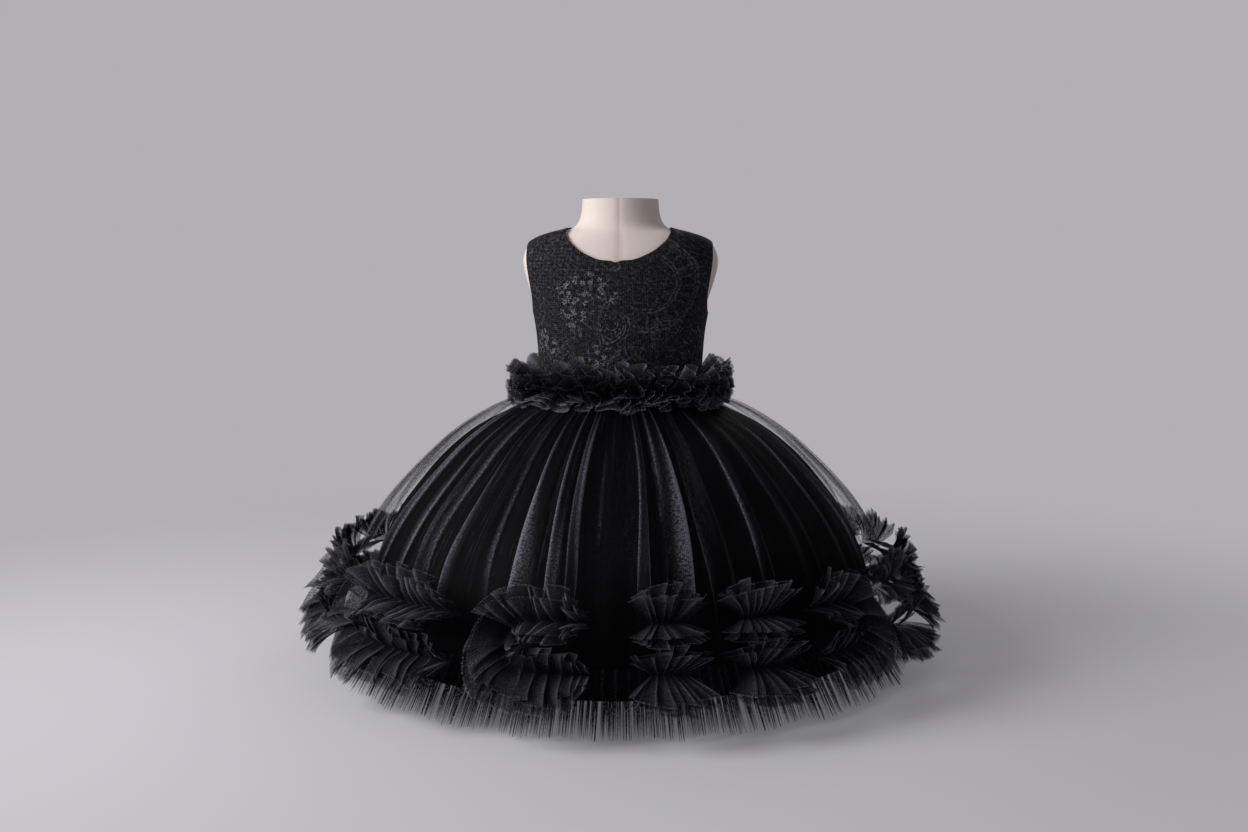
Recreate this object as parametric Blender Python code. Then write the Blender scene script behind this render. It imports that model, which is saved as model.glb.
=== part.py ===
# A child's sleeveless party dress, worn by a limbless table-top dress form.
# Metres, +Z up, front towards -Y, origin at the centre of the base plate's underside.
# Angles are in degrees round the body from centre front, positive towards +X.

import math
from collections import namedtuple
from functools import partial

import bmesh
import bpy
from mathutils import Matrix, Vector

Section = namedtuple("Section", "height half_width half_depth")
PanelRow = namedtuple("PanelRow", "inner_angle inner_height outer_angle outer_height")
Crest = namedtuple("Crest", "angle depth")
Reach = namedtuple("Reach", "height fold")
Cluster = namedtuple("Cluster", "name angle width kind opens")
Finish = namedtuple("Finish", "colour roughness metallic alpha")

# Driving sizes of the dress
SEAM_GAP = 0.0003
SEAM_ANGLE = 0.22
SIDE_SEAM = 0.0005
WELD = 1e-5
LACE_THICKNESS = 0.0015
LINING_THICKNESS = 0.0010
TULLE_THICKNESS = 0.0010
BODICE_HEM = 0.3432
WAIST = 0.3424
UNDERARM = 0.4420
SHOULDER_TIP = 0.5375
NECK_POINT = 0.5525
BODY_EASE = 0.0032
SHOULDER_EASE = 0.0009
SHOULDER_START = 0.500
SHOULDER_BLEND = 0.030
SHOULDER_FOCUS = 14
CENTRE_BACK_ANGLE = 180.0
FULL_TURN = 360.0
UNEVENNESS = 0.18

# Driving sizes of the form and its stand
BASE_RADIUS = 0.115
BASE_THICKNESS = 0.010
BASE_BEVEL = 0.002
POLE_RADIUS = 0.009
FORM_BOTTOM = 0.236
NECK_TOP = 0.590

# Mesh steps
FORM_SIDES = 32
POLE_SIDES = 20
BASE_SIDES = 40
STEPS_PER_WAVE = 4
PANEL_COLUMNS = 9
LINING_COLUMNS = 36
RUFFLE_STEPS_PER_WAVE = 3

FORM_SECTIONS = (
    Section(FORM_BOTTOM, 0.1000, 0.0760),
    Section(0.250, 0.1050, 0.0800),
    Section(0.300, 0.1030, 0.0790),
    Section(0.345, 0.1005, 0.0750),
    Section(0.400, 0.1030, 0.0755),
    Section(0.430, 0.1062, 0.0750),
    Section(0.460, 0.1125, 0.0730),
    Section(0.480, 0.1190, 0.0705),
    Section(0.500, 0.1245, 0.0675),
    Section(0.514, 0.1258, 0.0645),
    Section(0.525, 0.1228, 0.0612),
    Section(0.534, 0.1170, 0.0582),
    Section(0.540, 0.1070, 0.0562),
    Section(0.545, 0.0920, 0.0546),
    Section(0.549, 0.0750, 0.0528),
    Section(0.553, 0.0625, 0.0508),
    Section(0.560, 0.0550, 0.0486),
    Section(0.572, 0.0505, 0.0470),
    Section(NECK_TOP, 0.0488, 0.0460),
)

# Rows of a bodice panel, hem to shoulder seam: from the centre line and neck to side and armhole
FRONT_ROWS = (
    PanelRow(0.0, BODICE_HEM, 90.0, BODICE_HEM),
    PanelRow(0.0, 0.3680, 90.0, 0.3680),
    PanelRow(0.0, 0.3950, 90.0, 0.3930),
    PanelRow(0.0, 0.4220, 90.0, 0.4180),
    PanelRow(0.0, 0.4480, 90.0, UNDERARM),
    PanelRow(0.0, 0.4700, 79.0, 0.4510),
    PanelRow(0.0, 0.4910, 70.0, 0.4710),
    PanelRow(0.0, 0.5090, 66.5, 0.4930),
    PanelRow(10.0, 0.5130, 66.0, 0.5030),
    PanelRow(20.5, 0.5225, 66.5, 0.5120),
    PanelRow(29.5, 0.5340, 68.5, 0.5200),
    PanelRow(39.5, 0.5425, 72.5, 0.5270),
    PanelRow(58.0, 0.5490, 79.5, 0.5325),
    PanelRow(90.0, NECK_POINT, 90.0, SHOULDER_TIP),
)
BACK_ROWS = (
    PanelRow(0.0, BODICE_HEM, 90.0, BODICE_HEM),
    PanelRow(0.0, 0.3680, 90.0, 0.3680),
    PanelRow(0.0, 0.3950, 90.0, 0.3930),
    PanelRow(0.0, 0.4220, 90.0, 0.4180),
    PanelRow(0.0, 0.4480, 90.0, UNDERARM),
    PanelRow(0.0, 0.4740, 77.0, 0.4510),
    PanelRow(0.0, 0.4980, 66.0, 0.4710),
    PanelRow(0.0, 0.5180, 62.0, 0.4930),
    PanelRow(0.0, 0.5350, 62.0, 0.5060),
    PanelRow(16.0, 0.5390, 64.0, 0.5150),
    PanelRow(33.0, 0.5450, 69.0, 0.5240),
    PanelRow(55.0, 0.5495, 77.0, 0.5315),
    PanelRow(90.0, NECK_POINT, 90.0, SHOULDER_TIP),
)

# Outlines of the skirt layers, waist to hem
OVERLAY_SECTIONS = (
    Section(WAIST, 0.1062, 0.0812),
    Section(0.3365, 0.1270, 0.1010),
    Section(0.3260, 0.1570, 0.1320),
    Section(0.3075, 0.1910, 0.1690),
    Section(0.2850, 0.2230, 0.2040),
    Section(0.2585, 0.2520, 0.2360),
    Section(0.2320, 0.2785, 0.2645),
    Section(0.2055, 0.3020, 0.2920),
    Section(0.1720, 0.3245, 0.3180),
    Section(0.1350, 0.3420, 0.3380),
    Section(0.1000, 0.3540, 0.3520),
    Section(0.0600, 0.3650, 0.3645),
    Section(0.0200, 0.3735, 0.3735),
)
OVERLAY_FOLDS = (
    Reach(WAIST, 0.0006),
    Reach(0.3330, 0.0018),
    Reach(0.3030, 0.0045),
    Reach(0.2420, 0.0080),
    Reach(0.1900, 0.0065),
    Reach(0.1340, 0.0008),
    Reach(0.0240, 0.0009),
)
LINING_SECTIONS = (
    Section(0.3423, 0.1037, 0.0783),
    Section(0.3310, 0.1170, 0.0925),
    Section(0.3180, 0.1450, 0.1230),
    Section(0.2980, 0.1830, 0.1640),
    Section(0.2740, 0.2150, 0.2000),
    Section(0.2500, 0.2400, 0.2270),
    Section(0.2250, 0.2610, 0.2500),
    Section(0.1960, 0.2830, 0.2760),
    Section(0.1600, 0.3030, 0.3000),
    Section(0.1200, 0.3180, 0.3170),
    Section(0.0720, 0.3310, 0.3310),
    Section(0.0360, 0.3390, 0.3390),
)
LINING_HEIGHTS = (0.3423, 0.3310, 0.2980, 0.2400, 0.1600, 0.0360)

# Gathers of the tulle overlay: those that the front shows, then even numbers round the back
FRONT_CRESTS = (
    Crest(-48.5, 1.00),
    Crest(-40.5, 0.80),
    Crest(-32.5, 1.00),
    Crest(-24.0, 0.90),
    Crest(-15.5, 1.10),
    Crest(-8.8, 1.15),
    Crest(-1.0, 0.75),
    Crest(7.0, 1.15),
    Crest(16.5, 0.95),
    Crest(25.5, 0.85),
    Crest(35.5, 0.90),
    Crest(45.0, 0.80),
)
BACK_CRESTS = 24

# Hem flounce under the overlay
FLOUNCE_WAVES = 27
FLOUNCE_TOP = 0.0700
FLOUNCE_HEM = 0.0040
FLOUNCE_RADIUS = 0.3765
FLOUNCE_WAVE = 0.0055
FLOUNCE_TOP_WAVE = 0.0003
FLOUNCE_SEAT = 0.0023

# Waist ruffle, stitched along its middle
WAIST_STITCH = 0.3505
WAIST_SEAT = 0.0029
WAIST_WAVES = 28
WAIST_OUT = 0.0440
WAIST_UP = 0.0290
WAIST_DOWN = 0.0150
WAIST_WAVE_UP = 0.0050
WAIST_WAVE_DOWN = 0.0035
OVAL_SHIFT = 4.0
RUFFLE_ROWS = (-1.0, 0.0, 0.5, 1.0)

# Hem ruffles: clusters round the skirt, each an open curl of one strip or a pair of pinched bows
BAND_HEIGHT = 0.0970
BAND_RADIUS = 0.3540
BAND_SLOPE = 0.93
ROW_OFFSET = 0.0265
RUFFLE_LIFT = 0.0300
RUFFLE_WAVE = 0.0060
RUFFLE_OUTER = 0.0330
LOW_REACH = 0.0070
LOW_LIFT = 0.0140
RUFFLE_INNER = 0.0170
BOW_INNER = 0.0215
BOW_PINCH = 0.0110
BOW_CURVE = 0.22
BOW_DROP = 0.35
BOW_WAVES = 3
CURL_WAVE_LENGTH = 0.036
RUFFLE_SEAT = 0.0016
END_MARGIN = 0.0015
CLUSTERS = (
    Cluster("01", -11.7, 21.0, "curl", 1),
    Cluster("02", 11.4, 14.6, "bows", 1),
    Cluster("03", 28.0, 16.8, "bows", 1),
    Cluster("04", 47.6, 18.2, "curl", -1),
    Cluster("05", 66.8, 19.4, "bows", 1),
    Cluster("06", 87.0, 19.8, "curl", 1),
    Cluster("07", 106.4, 18.2, "bows", 1),
    Cluster("08", 125.3, 18.8, "curl", -1),
    Cluster("09", 144.0, 17.8, "bows", 1),
    Cluster("10", 162.4, 18.2, "curl", 1),
    Cluster("11", 180.5, 17.2, "bows", 1),
    Cluster("12", 199.0, 19.0, "curl", -1),
    Cluster("13", 218.0, 18.2, "bows", 1),
    Cluster("14", 236.9, 18.8, "curl", 1),
    Cluster("15", 255.6, 17.8, "bows", 1),
    Cluster("16", 273.9, 18.0, "bows", 1),
    Cluster("17", 292.9, 19.2, "curl", 1),
    Cluster("18", 318.8, 31.2, "curl", 1),
)

# Centre-back zip: tape behind the panels, slider and pull outside at the neck
ZIP_TAPE_HALF_WIDTH = 0.0110
ZIP_TAPE_THICKNESS = 0.0008
ZIP_TAPE_TOP = 0.5340
ZIP_TAPE_BOTTOM = 0.3460
ZIP_TAPE_GAP = 0.0009
ZIP_TAPE_ROWS = 12
SLIDER_HEIGHT = 0.5230
SLIDER_SIZE = Vector((0.0052, 0.0084, 0.0024))
SLIDER_EAR = 0.0010
SLIDER_SEAT = 0.0006
PIN_RADIUS = 0.0005
PIN_OUT = 0.0020
EAR_REACH = 0.0012
BARREL_RADIUS = 0.0013
BARREL_BORE = 0.0008
BARREL_WIDTH = 0.0024
PULL_LENGTH = 0.0140
PULL_WIDTH = 0.0042
PULL_NECK = 0.0022
PULL_THICKNESS = 0.0009
PULL_NECK_END = 0.0032
PULL_SHOULDER = 0.0062
PULL_CORNER = 0.0018

FINISHES = {
    "lace": Finish((0.012, 0.012, 0.014, 1), 0.62, 0.0, 1.0),
    "lining": Finish((0.006, 0.006, 0.007, 1), 0.45, 0.0, 1.0),
    "tulle": Finish((0.014, 0.014, 0.018, 1), 0.70, 0.0, 0.6),
    "linen": Finish((0.78, 0.72, 0.66, 1), 0.80, 0.0, 1.0),
    "steel": Finish((0.30, 0.30, 0.31, 1), 0.35, 1.0, 1.0),
    "zip_tape": Finish((0.012, 0.012, 0.013, 1), 0.75, 0.0, 1.0),
    "zip_metal": Finish((0.03, 0.03, 0.032, 1), 0.35, 0.8, 1.0),
}


def clear_scene():
    for obj in list(bpy.data.objects):
        bpy.data.objects.remove(obj, do_unlink=True)


def make_materials():
    made = {}
    for name, finish in FINISHES.items():
        material = bpy.data.materials.new(name)
        material.use_nodes = True
        shader = material.node_tree.nodes["Principled BSDF"]
        shader.inputs["Base Color"].default_value = finish.colour
        shader.inputs["Roughness"].default_value = finish.roughness
        shader.inputs["Metallic"].default_value = finish.metallic
        shader.inputs["Alpha"].default_value = finish.alpha
        made[name] = material
    return made


def smooth(share):
    share = min(max(share, 0.0), 1.0)
    return share * share * (3 - 2 * share)


def read_table(rows, key, value):
    """The row at that value of its key column, on a smooth curve through the table's rows."""
    rows = sorted(rows, key=lambda row: getattr(row, key))
    places = [getattr(row, key) for row in rows]
    value = min(max(value, places[0]), places[-1])
    last = len(rows) - 1
    left = max(0, min(last - 1, sum(place <= value for place in places) - 1))

    def slope(column, i):
        low, high = max(i - 1, 0), min(i + 1, last)
        rise = getattr(rows[high], column) - getattr(rows[low], column)
        return rise / (places[high] - places[low])

    span = places[left + 1] - places[left]
    share = (value - places[left]) / span
    found = {}
    for column in rows[0]._fields:
        start, end = getattr(rows[left], column), getattr(rows[left + 1], column)
        out, into = slope(column, left) * span, slope(column, left + 1) * span
        bend = share * (1 - share)
        found[column] = (
            start
            + (end - start) * smooth(share)
            + bend * ((1 - share) * out - share * into)
        )
    return type(rows[0])(**found)


def oval_point(section, angle):
    turn = math.radians(angle)
    return Vector(
        (
            section.half_width * math.sin(turn),
            -section.half_depth * math.cos(turn),
            section.height,
        )
    )


def outward(surface, angle, height):
    """The unit vector out of a surface of angle and height."""
    tiny_turn, tiny_rise = 0.05, 0.0002
    around = surface(angle + tiny_turn, height) - surface(angle - tiny_turn, height)
    upward = surface(angle, height + tiny_rise) - surface(angle, height - tiny_rise)
    return around.cross(upward).normalized()


def form_surface(angle, height):
    return oval_point(read_table(FORM_SECTIONS, "height", height), angle)


def overlay_surface(angle, height):
    return oval_point(read_table(OVERLAY_SECTIONS, "height", height), angle)


def lining_surface(angle, height):
    return oval_point(read_table(LINING_SECTIONS, "height", height), angle)


def bodice_ease(angle, height):
    """Room between the form and the bodice, least where the shoulders carry the dress."""
    on_shoulder = smooth((height - SHOULDER_START) / SHOULDER_BLEND)
    on_shoulder *= math.sin(math.radians(angle)) ** SHOULDER_FOCUS
    return BODY_EASE + (SHOULDER_EASE - BODY_EASE) * on_shoulder


def bodice_point(angle, height, out=LACE_THICKNESS / 2):
    away = bodice_ease(angle, height) + out
    return form_surface(angle, height) + outward(form_surface, angle, height) * away


def new_object(name, mesh, material):
    obj = bpy.data.objects.new(name, mesh)
    obj.data.materials.append(material)
    bpy.context.scene.collection.objects.link(obj)
    return obj


def add_grid(bm, rows, ring):
    """Triangles through rows of points, whose ends meet if it is a ring."""
    made = [[bm.verts.new(point) for point in row] for row in rows]
    for low, high in zip(made, made[1:]):
        around = len(low) if ring else len(low) - 1
        for i in range(around):
            j = (i + 1) % len(low)
            if (low[i].co - high[j].co).length < (low[j].co - high[i].co).length:
                bm.faces.new((low[i], low[j], high[j]))
                bm.faces.new((low[i], high[j], high[i]))
            else:
                bm.faces.new((low[i], low[j], high[i]))
                bm.faces.new((low[j], high[j], high[i]))


def cloth_wall(name, grids, thickness, material, ring=False):
    """Cloth whose middle runs through grids of points, which are joined where they touch."""
    bm = bmesh.new()
    for rows in grids:
        add_grid(bm, rows, ring)
    bmesh.ops.remove_doubles(bm, verts=bm.verts, dist=WELD)
    bmesh.ops.recalc_face_normals(bm, faces=bm.faces)
    mesh = bpy.data.meshes.new(name)
    bm.to_mesh(mesh)
    bm.free()
    obj = new_object(name, mesh, material)
    wall = obj.modifiers.new("cloth", "SOLIDIFY")
    wall.thickness = thickness
    wall.offset = 0.0
    wall.use_quality_normals = True
    mesh.shade_smooth()
    return obj


def half_rows(rows, angles, front):
    """Half of a tube of rows, cut at both sides, with its cut edges drawn back for the seams."""
    count = len(angles)
    right = min(range(count), key=lambda k: abs(angles[k] - 90))
    left = min(range(count), key=lambda k: abs(angles[k] - 270))
    start, end = (left, right + count) if front else (right, left)
    picked = []
    for row in rows:
        points = [row[k % count].copy() for k in range(start, end + 1)]
        for edge, inner in ((0, 1), (-1, -2)):
            inward = points[inner] - points[edge]
            points[edge] += inward.normalized() * SIDE_SEAM
        picked.append(points)
    return picked


def form_torso(material):
    """The covered torso, with its shoulder caps and a plain neck."""
    bm = bmesh.new()
    rings = [
        [
            bm.verts.new(form_surface(FULL_TURN * i / FORM_SIDES, section.height))
            for i in range(FORM_SIDES)
        ]
        for section in FORM_SECTIONS
    ]
    for low, high in zip(rings, rings[1:]):
        for i in range(FORM_SIDES):
            j = (i + 1) % FORM_SIDES
            bm.faces.new((low[i], low[j], high[j], high[i]))
    bm.faces.new(reversed(rings[0]))
    bm.faces.new(rings[-1])
    mesh = bpy.data.meshes.new("form_torso")
    bm.to_mesh(mesh)
    bm.free()
    obj = new_object("form_torso", mesh, material)
    mesh.shade_smooth()
    mesh.set_sharp_from_angle(angle=math.radians(50))
    return obj


def turned(name, radius, low, high, sides, material, bevel=0.0):
    bm = bmesh.new()
    bmesh.ops.create_cone(
        bm,
        cap_ends=True,
        segments=sides,
        radius1=radius,
        radius2=radius,
        depth=high - low,
        matrix=Matrix.Translation((0, 0, (low + high) / 2)),
    )
    mesh = bpy.data.meshes.new(name)
    bm.to_mesh(mesh)
    bm.free()
    obj = new_object(name, mesh, material)
    if bevel:
        edge = obj.modifiers.new("edge", "BEVEL")
        edge.width = bevel
        edge.segments = 1
        edge.limit_method = "ANGLE"
    mesh.shade_smooth()
    mesh.set_sharp_from_angle(angle=math.radians(40))
    return obj


def panel_spots(row):
    """Angle and height at each column of a panel's row, from its inner to its outer edge."""
    spots = []
    for i in range(PANEL_COLUMNS + 1):
        share = i / PANEL_COLUMNS
        angle = row.inner_angle + (row.outer_angle - row.inner_angle) * share
        height = row.inner_height + (row.outer_height - row.inner_height) * share
        spots.append((min(angle, 90.0 - SEAM_ANGLE), height))
    return spots


def bodice_front(material):
    """The front in one piece: two halves that meet on the centre line, below the neck."""
    halves = [
        [
            [bodice_point(side * angle, height) for angle, height in panel_spots(row)]
            for row in FRONT_ROWS
        ]
        for side in (1, -1)
    ]
    return cloth_wall("bodice_front", halves, LACE_THICKNESS, material)


def bodice_back(name, side, material):
    """Half of the back. side is 1 on +X and -1 on -X."""
    rows = [
        [
            bodice_point(CENTRE_BACK_ANGLE - side * max(angle, SEAM_ANGLE), height)
            for angle, height in panel_spots(row)
        ]
        for row in BACK_ROWS
    ]
    return cloth_wall(name, [rows], LACE_THICKNESS, material)


def overlay_crests():
    """Every gather's crest round the overlay, in order."""
    last = FRONT_CRESTS[-1].angle
    to_go = FRONT_CRESTS[0].angle + FULL_TURN - last
    widths = [1 + UNEVENNESS * (math.sin(2.4 * k) + math.sin(5.1 * k)) for k in range(BACK_CRESTS + 1)]
    crests = list(FRONT_CRESTS)
    for k in range(1, BACK_CRESTS + 1):
        angle = last + to_go * sum(widths[:k]) / sum(widths)
        crests.append(Crest(angle, 0.9 + UNEVENNESS * math.sin(1.7 * k)))
    return crests


def folded_columns(crests):
    """Angle and swing of each mesh column, swing going 1 on a crest and -1 in a trough."""
    columns = []
    for k, crest in enumerate(crests):
        after = crests[(k + 1) % len(crests)]
        span = (after.angle - crest.angle) % FULL_TURN
        for step in range(STEPS_PER_WAVE):
            share = step / STEPS_PER_WAVE
            depth = crest.depth + (after.depth - crest.depth) * share
            columns.append(
                (crest.angle + span * share, depth * math.cos(2 * math.pi * share))
            )
    return columns


def overlay_rows():
    """The overlay's middle, hem row first, and the angle of each column."""
    columns = folded_columns(overlay_crests())
    rows = []
    for reach in reversed(OVERLAY_FOLDS):
        rows.append(
            [
                overlay_surface(angle, reach.height)
                + outward(overlay_surface, angle, reach.height) * reach.fold * swing
                for angle, swing in columns
            ]
        )
    return rows, [angle for angle, _ in columns]


def cloth_point(rows, heights, angles, angle, height):
    """The point on the cloth through those rows, at an angle and a height."""
    low = max(k for k in range(len(heights) - 1) if heights[k] <= max(height, heights[0]))
    up = (height - heights[low]) / (heights[low + 1] - heights[low])
    turn = (angle - angles[0]) % FULL_TURN
    starts = [start - angles[0] for start in angles]
    left = max(k for k in range(len(starts)) if starts[k] <= turn)
    right = (left + 1) % len(starts)
    width = (starts[right] - starts[left]) % FULL_TURN
    along = (turn - starts[left]) / width
    lower = rows[low][left].lerp(rows[low][right], along)
    upper = rows[low + 1][left].lerp(rows[low + 1][right], along)
    return lower.lerp(upper, up)


def lining_rows():
    """The lining's middle, hem row first, and the angle of each column."""
    angles = [FULL_TURN * i / LINING_COLUMNS for i in range(LINING_COLUMNS)]
    rows = [
        [lining_surface(angle, height) for angle in angles]
        for height in reversed(LINING_HEIGHTS)
    ]
    return rows, angles


def even_crests(count, phase, oval_shift=0.0):
    """Crests of nearly even gathers. The shift opens them up where an oval bends most."""
    crests = []
    for k in range(count):
        place = k + UNEVENNESS * math.sin(2.3 * k + phase)
        angle = FULL_TURN * place / count
        angle -= oval_shift * math.sin(math.radians(2 * angle))
        crests.append(Crest(angle, 1 + 0.15 * math.sin(1.3 * k + 2 * phase)))
    return crests


def hem_flounce(lining, material):
    """The gathered strip of tulle that shows under the ruffles, sewn to the lining's outside."""
    columns = folded_columns(even_crests(FLOUNCE_WAVES, 0.4))
    low_row, high_row = [], []
    for angle, swing in columns:
        turn = math.radians(angle)
        away = Vector((math.sin(turn), -math.cos(turn), 0))
        radius = FLOUNCE_RADIUS + FLOUNCE_WAVE * swing
        low_row.append(away * radius + Vector((0, 0, FLOUNCE_HEM)))
        out = outward(lining_surface, angle, FLOUNCE_TOP)
        seat = FLOUNCE_SEAT + FLOUNCE_TOP_WAVE * swing
        high_row.append(lining(angle, FLOUNCE_TOP) + out * seat)
    rows = [low_row, high_row]
    return cloth_wall("hem_flounce", [rows], TULLE_THICKNESS, material, ring=True)


def waist_ruffle(material):
    """A strip stitched round the waist along its middle, with both edges fanned out."""
    columns = folded_columns(even_crests(WAIST_WAVES, 1.1, OVAL_SHIFT))
    rows = []
    for share in RUFFLE_ROWS:
        rise, swing_size = (
            (WAIST_UP, WAIST_WAVE_UP) if share > 0 else (WAIST_DOWN, WAIST_WAVE_DOWN)
        )
        row = []
        for angle, swing in columns:
            turn = math.radians(angle)
            out = Vector((math.sin(turn), -math.cos(turn), 0))
            way = Vector((0, 0, math.copysign(1, share)))
            leg = out * WAIST_OUT + way * rise
            normal = (way * WAIST_OUT - out * rise).normalized()
            stitch = bodice_point(angle, WAIST_STITCH, WAIST_SEAT)
            row.append(stitch + (leg + normal * swing_size * swing) * abs(share))
        rows.append(row)
    return cloth_wall("waist_ruffle", [rows], TULLE_THICKNESS, material, ring=True)


def half_span(cluster):
    """Half of the cluster's width along the overlay, in metres."""
    return math.radians(cluster.width / 2) * BAND_RADIUS - END_MARGIN


def ruffle_strip(name, cluster, cloth, rows, material):
    """Cloth through rows of metres across and up from the cluster's middle, and out of the overlay."""
    made = []
    for row in rows:
        points = []
        for across, up, out in row:
            angle = cluster.angle + math.degrees(across / BAND_RADIUS)
            height = BAND_HEIGHT + BAND_SLOPE * up
            away = outward(overlay_surface, angle, height) * (RUFFLE_SEAT + out)
            points.append(cloth(angle, height) + away)
        made.append(points)
    return cloth_wall(name, [made], TULLE_THICKNESS, material)


def ruffle_bow(cluster, name, middle, up, cloth, material):
    """A strip pinched along its middle, its longer edge upwards or, with up at -1, downwards."""
    reach = half_span(cluster)
    steps = BOW_WAVES * RUFFLE_STEPS_PER_WAVE
    rows = []
    for share in RUFFLE_ROWS:
        size = abs(share)
        low_edge = up < 0 < share
        tall = RUFFLE_OUTER if share > 0 else BOW_INNER
        tall += LOW_REACH * low_edge
        row = []
        for i in range(steps + 1):
            along = 2 * i / steps - 1
            spread = BOW_PINCH + (reach - BOW_PINCH) * size
            rise = up * share * tall * (1 - BOW_CURVE * along**2)
            swing = math.cos(2 * math.pi * i / RUFFLE_STEPS_PER_WAVE)
            out = RUFFLE_LIFT * (1 - BOW_DROP * along**2) + LOW_LIFT * low_edge
            lift = size * (out + RUFFLE_WAVE * swing)
            row.append((along * spread, middle + rise, lift))
        rows.append(row)
    ruffle_strip(name, cluster, cloth, rows, material)


def curl_place(along, straight):
    """Place and heading on a stitching line of two straights joined by a half turn at the left."""
    turn_length = math.pi * ROW_OFFSET
    gone = along * (2 * straight + turn_length)
    if gone <= straight:
        return Vector((straight - gone, ROW_OFFSET)), Vector((-1, 0))
    if gone >= straight + turn_length:
        return Vector((gone - straight - turn_length, -ROW_OFFSET)), Vector((1, 0))
    angle = math.pi / 2 + (gone - straight) / ROW_OFFSET
    spot = Vector((math.cos(angle), math.sin(angle)))
    return spot * ROW_OFFSET, Vector((-spot[1], spot[0]))


def ruffle_curl(cluster, name, cloth, material):
    """A strip stitched along its middle in an open curl, with both edges standing out."""
    reach = half_span(cluster)
    turn_centre = -reach + RUFFLE_OUTER + ROW_OFFSET
    straight = reach - turn_centre
    waves = round((2 * straight + math.pi * ROW_OFFSET) / CURL_WAVE_LENGTH)
    steps = waves * RUFFLE_STEPS_PER_WAVE
    rows = []
    for share in RUFFLE_ROWS:
        row = []
        for i in range(steps + 1):
            centre, heading = curl_place(i / steps, straight)
            outside = Vector((heading[1], -heading[0]))
            low = max(0.0, -outside[1]) if share > 0 else 0.0
            wide = (RUFFLE_OUTER + LOW_REACH * low) if share > 0 else RUFFLE_INNER
            place = centre + outside * share * wide
            swing = math.cos(2 * math.pi * i / RUFFLE_STEPS_PER_WAVE)
            lift = (RUFFLE_LIFT + LOW_LIFT * low + RUFFLE_WAVE * swing) * abs(share)
            across = (turn_centre + place[0]) * cluster.opens
            row.append((across, place[1], lift))
        rows.append(row)
    ruffle_strip(name, cluster, cloth, rows, material)


def hem_ruffles(cloth, material):
    for cluster in CLUSTERS:
        name = "hem_ruffle_" + cluster.name
        if cluster.kind == "curl":
            ruffle_curl(cluster, name, cloth, material)
        else:
            ruffle_bow(cluster, name + "_upper", ROW_OFFSET, 1, cloth, material)
            ruffle_bow(cluster, name + "_lower", -ROW_OFFSET, -1, cloth, material)


def zip_tape(material):
    rows = []
    out = -(ZIP_TAPE_GAP + ZIP_TAPE_THICKNESS / 2)
    for j in range(ZIP_TAPE_ROWS + 1):
        height = ZIP_TAPE_BOTTOM + (ZIP_TAPE_TOP - ZIP_TAPE_BOTTOM) * j / ZIP_TAPE_ROWS
        width = read_table(FORM_SECTIONS, "height", height).half_width
        row = []
        for share in (1, 0, -1):
            angle = CENTRE_BACK_ANGLE - math.degrees(
                share * ZIP_TAPE_HALF_WIDTH / width
            )
            row.append(bodice_point(angle, height, out))
        rows.append(row)
    return cloth_wall("zip_tape", [rows], ZIP_TAPE_THICKNESS, material)


def box_mesh(bm, size, centre):
    matrix = Matrix.Translation(centre) @ Matrix.Diagonal((*size, 1))
    bmesh.ops.create_cube(bm, size=1.0, matrix=matrix)


def rod_mesh(bm, radius, length, centre, sides=12):
    """A rod along X."""
    matrix = Matrix.Translation(centre) @ Matrix.Rotation(math.pi / 2, 4, "Y")
    bmesh.ops.create_cone(
        bm,
        cap_ends=True,
        segments=sides,
        radius1=radius,
        radius2=radius,
        depth=length,
        matrix=matrix,
    )


def solid_from(name, build, material, frame, helper=False):
    bm = bmesh.new()
    build(bm)
    bmesh.ops.recalc_face_normals(bm, faces=bm.faces)
    mesh = bpy.data.meshes.new(name)
    bm.to_mesh(mesh)
    bm.free()
    obj = new_object(name, mesh, material)
    obj.matrix_world = frame
    obj.hide_render = helper
    if helper:
        obj.display_type = "WIRE"
    return obj


def add_boolean(obj, operation, other):
    step = obj.modifiers.new(operation.lower(), "BOOLEAN")
    step.operation = operation
    step.object = other


def zip_frame():
    """X across, Y up the back and Z out of it, with its origin on the pull's pin."""
    at = bodice_point(CENTRE_BACK_ANGLE, SLIDER_HEIGHT, LACE_THICKNESS)
    out = outward(form_surface, CENTRE_BACK_ANGLE, SLIDER_HEIGHT)
    across = Vector((-1, 0, 0))
    upward = out.cross(across)
    origin = at + out * (SLIDER_SEAT + SLIDER_SIZE[2] + PIN_OUT)
    turn = Matrix((across, upward, out)).transposed()
    return Matrix.Translation(origin) @ turn.to_4x4()


def zip_slider(material):
    """The slider's body with two ears and the pin that the pull turns on."""
    frame = zip_frame()
    body_middle = -(PIN_OUT + SLIDER_SIZE[2] / 2)
    ear_across = (BARREL_WIDTH + SLIDER_EAR) / 2 + SEAM_GAP
    ear_size = Vector((SLIDER_EAR, 2 * EAR_REACH, PIN_OUT + 2 * EAR_REACH))

    def body(bm):
        box_mesh(bm, SLIDER_SIZE, Vector((0, 0, body_middle)))

    def ear(side):
        middle = Vector((side * ear_across, 0, -PIN_OUT / 2))
        return lambda bm: box_mesh(bm, ear_size, middle)

    def pin(bm):
        rod_mesh(bm, PIN_RADIUS, 2 * ear_across, Vector((0, 0, 0)), 8)

    slider = solid_from("zip_slider", body, material, frame)
    for label, build in (("ear_1", ear(1)), ("ear_2", ear(-1)), ("pin", pin)):
        helper = solid_from("zip_slider_" + label, build, material, frame, helper=True)
        add_boolean(slider, "UNION", helper)
    return slider


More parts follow.
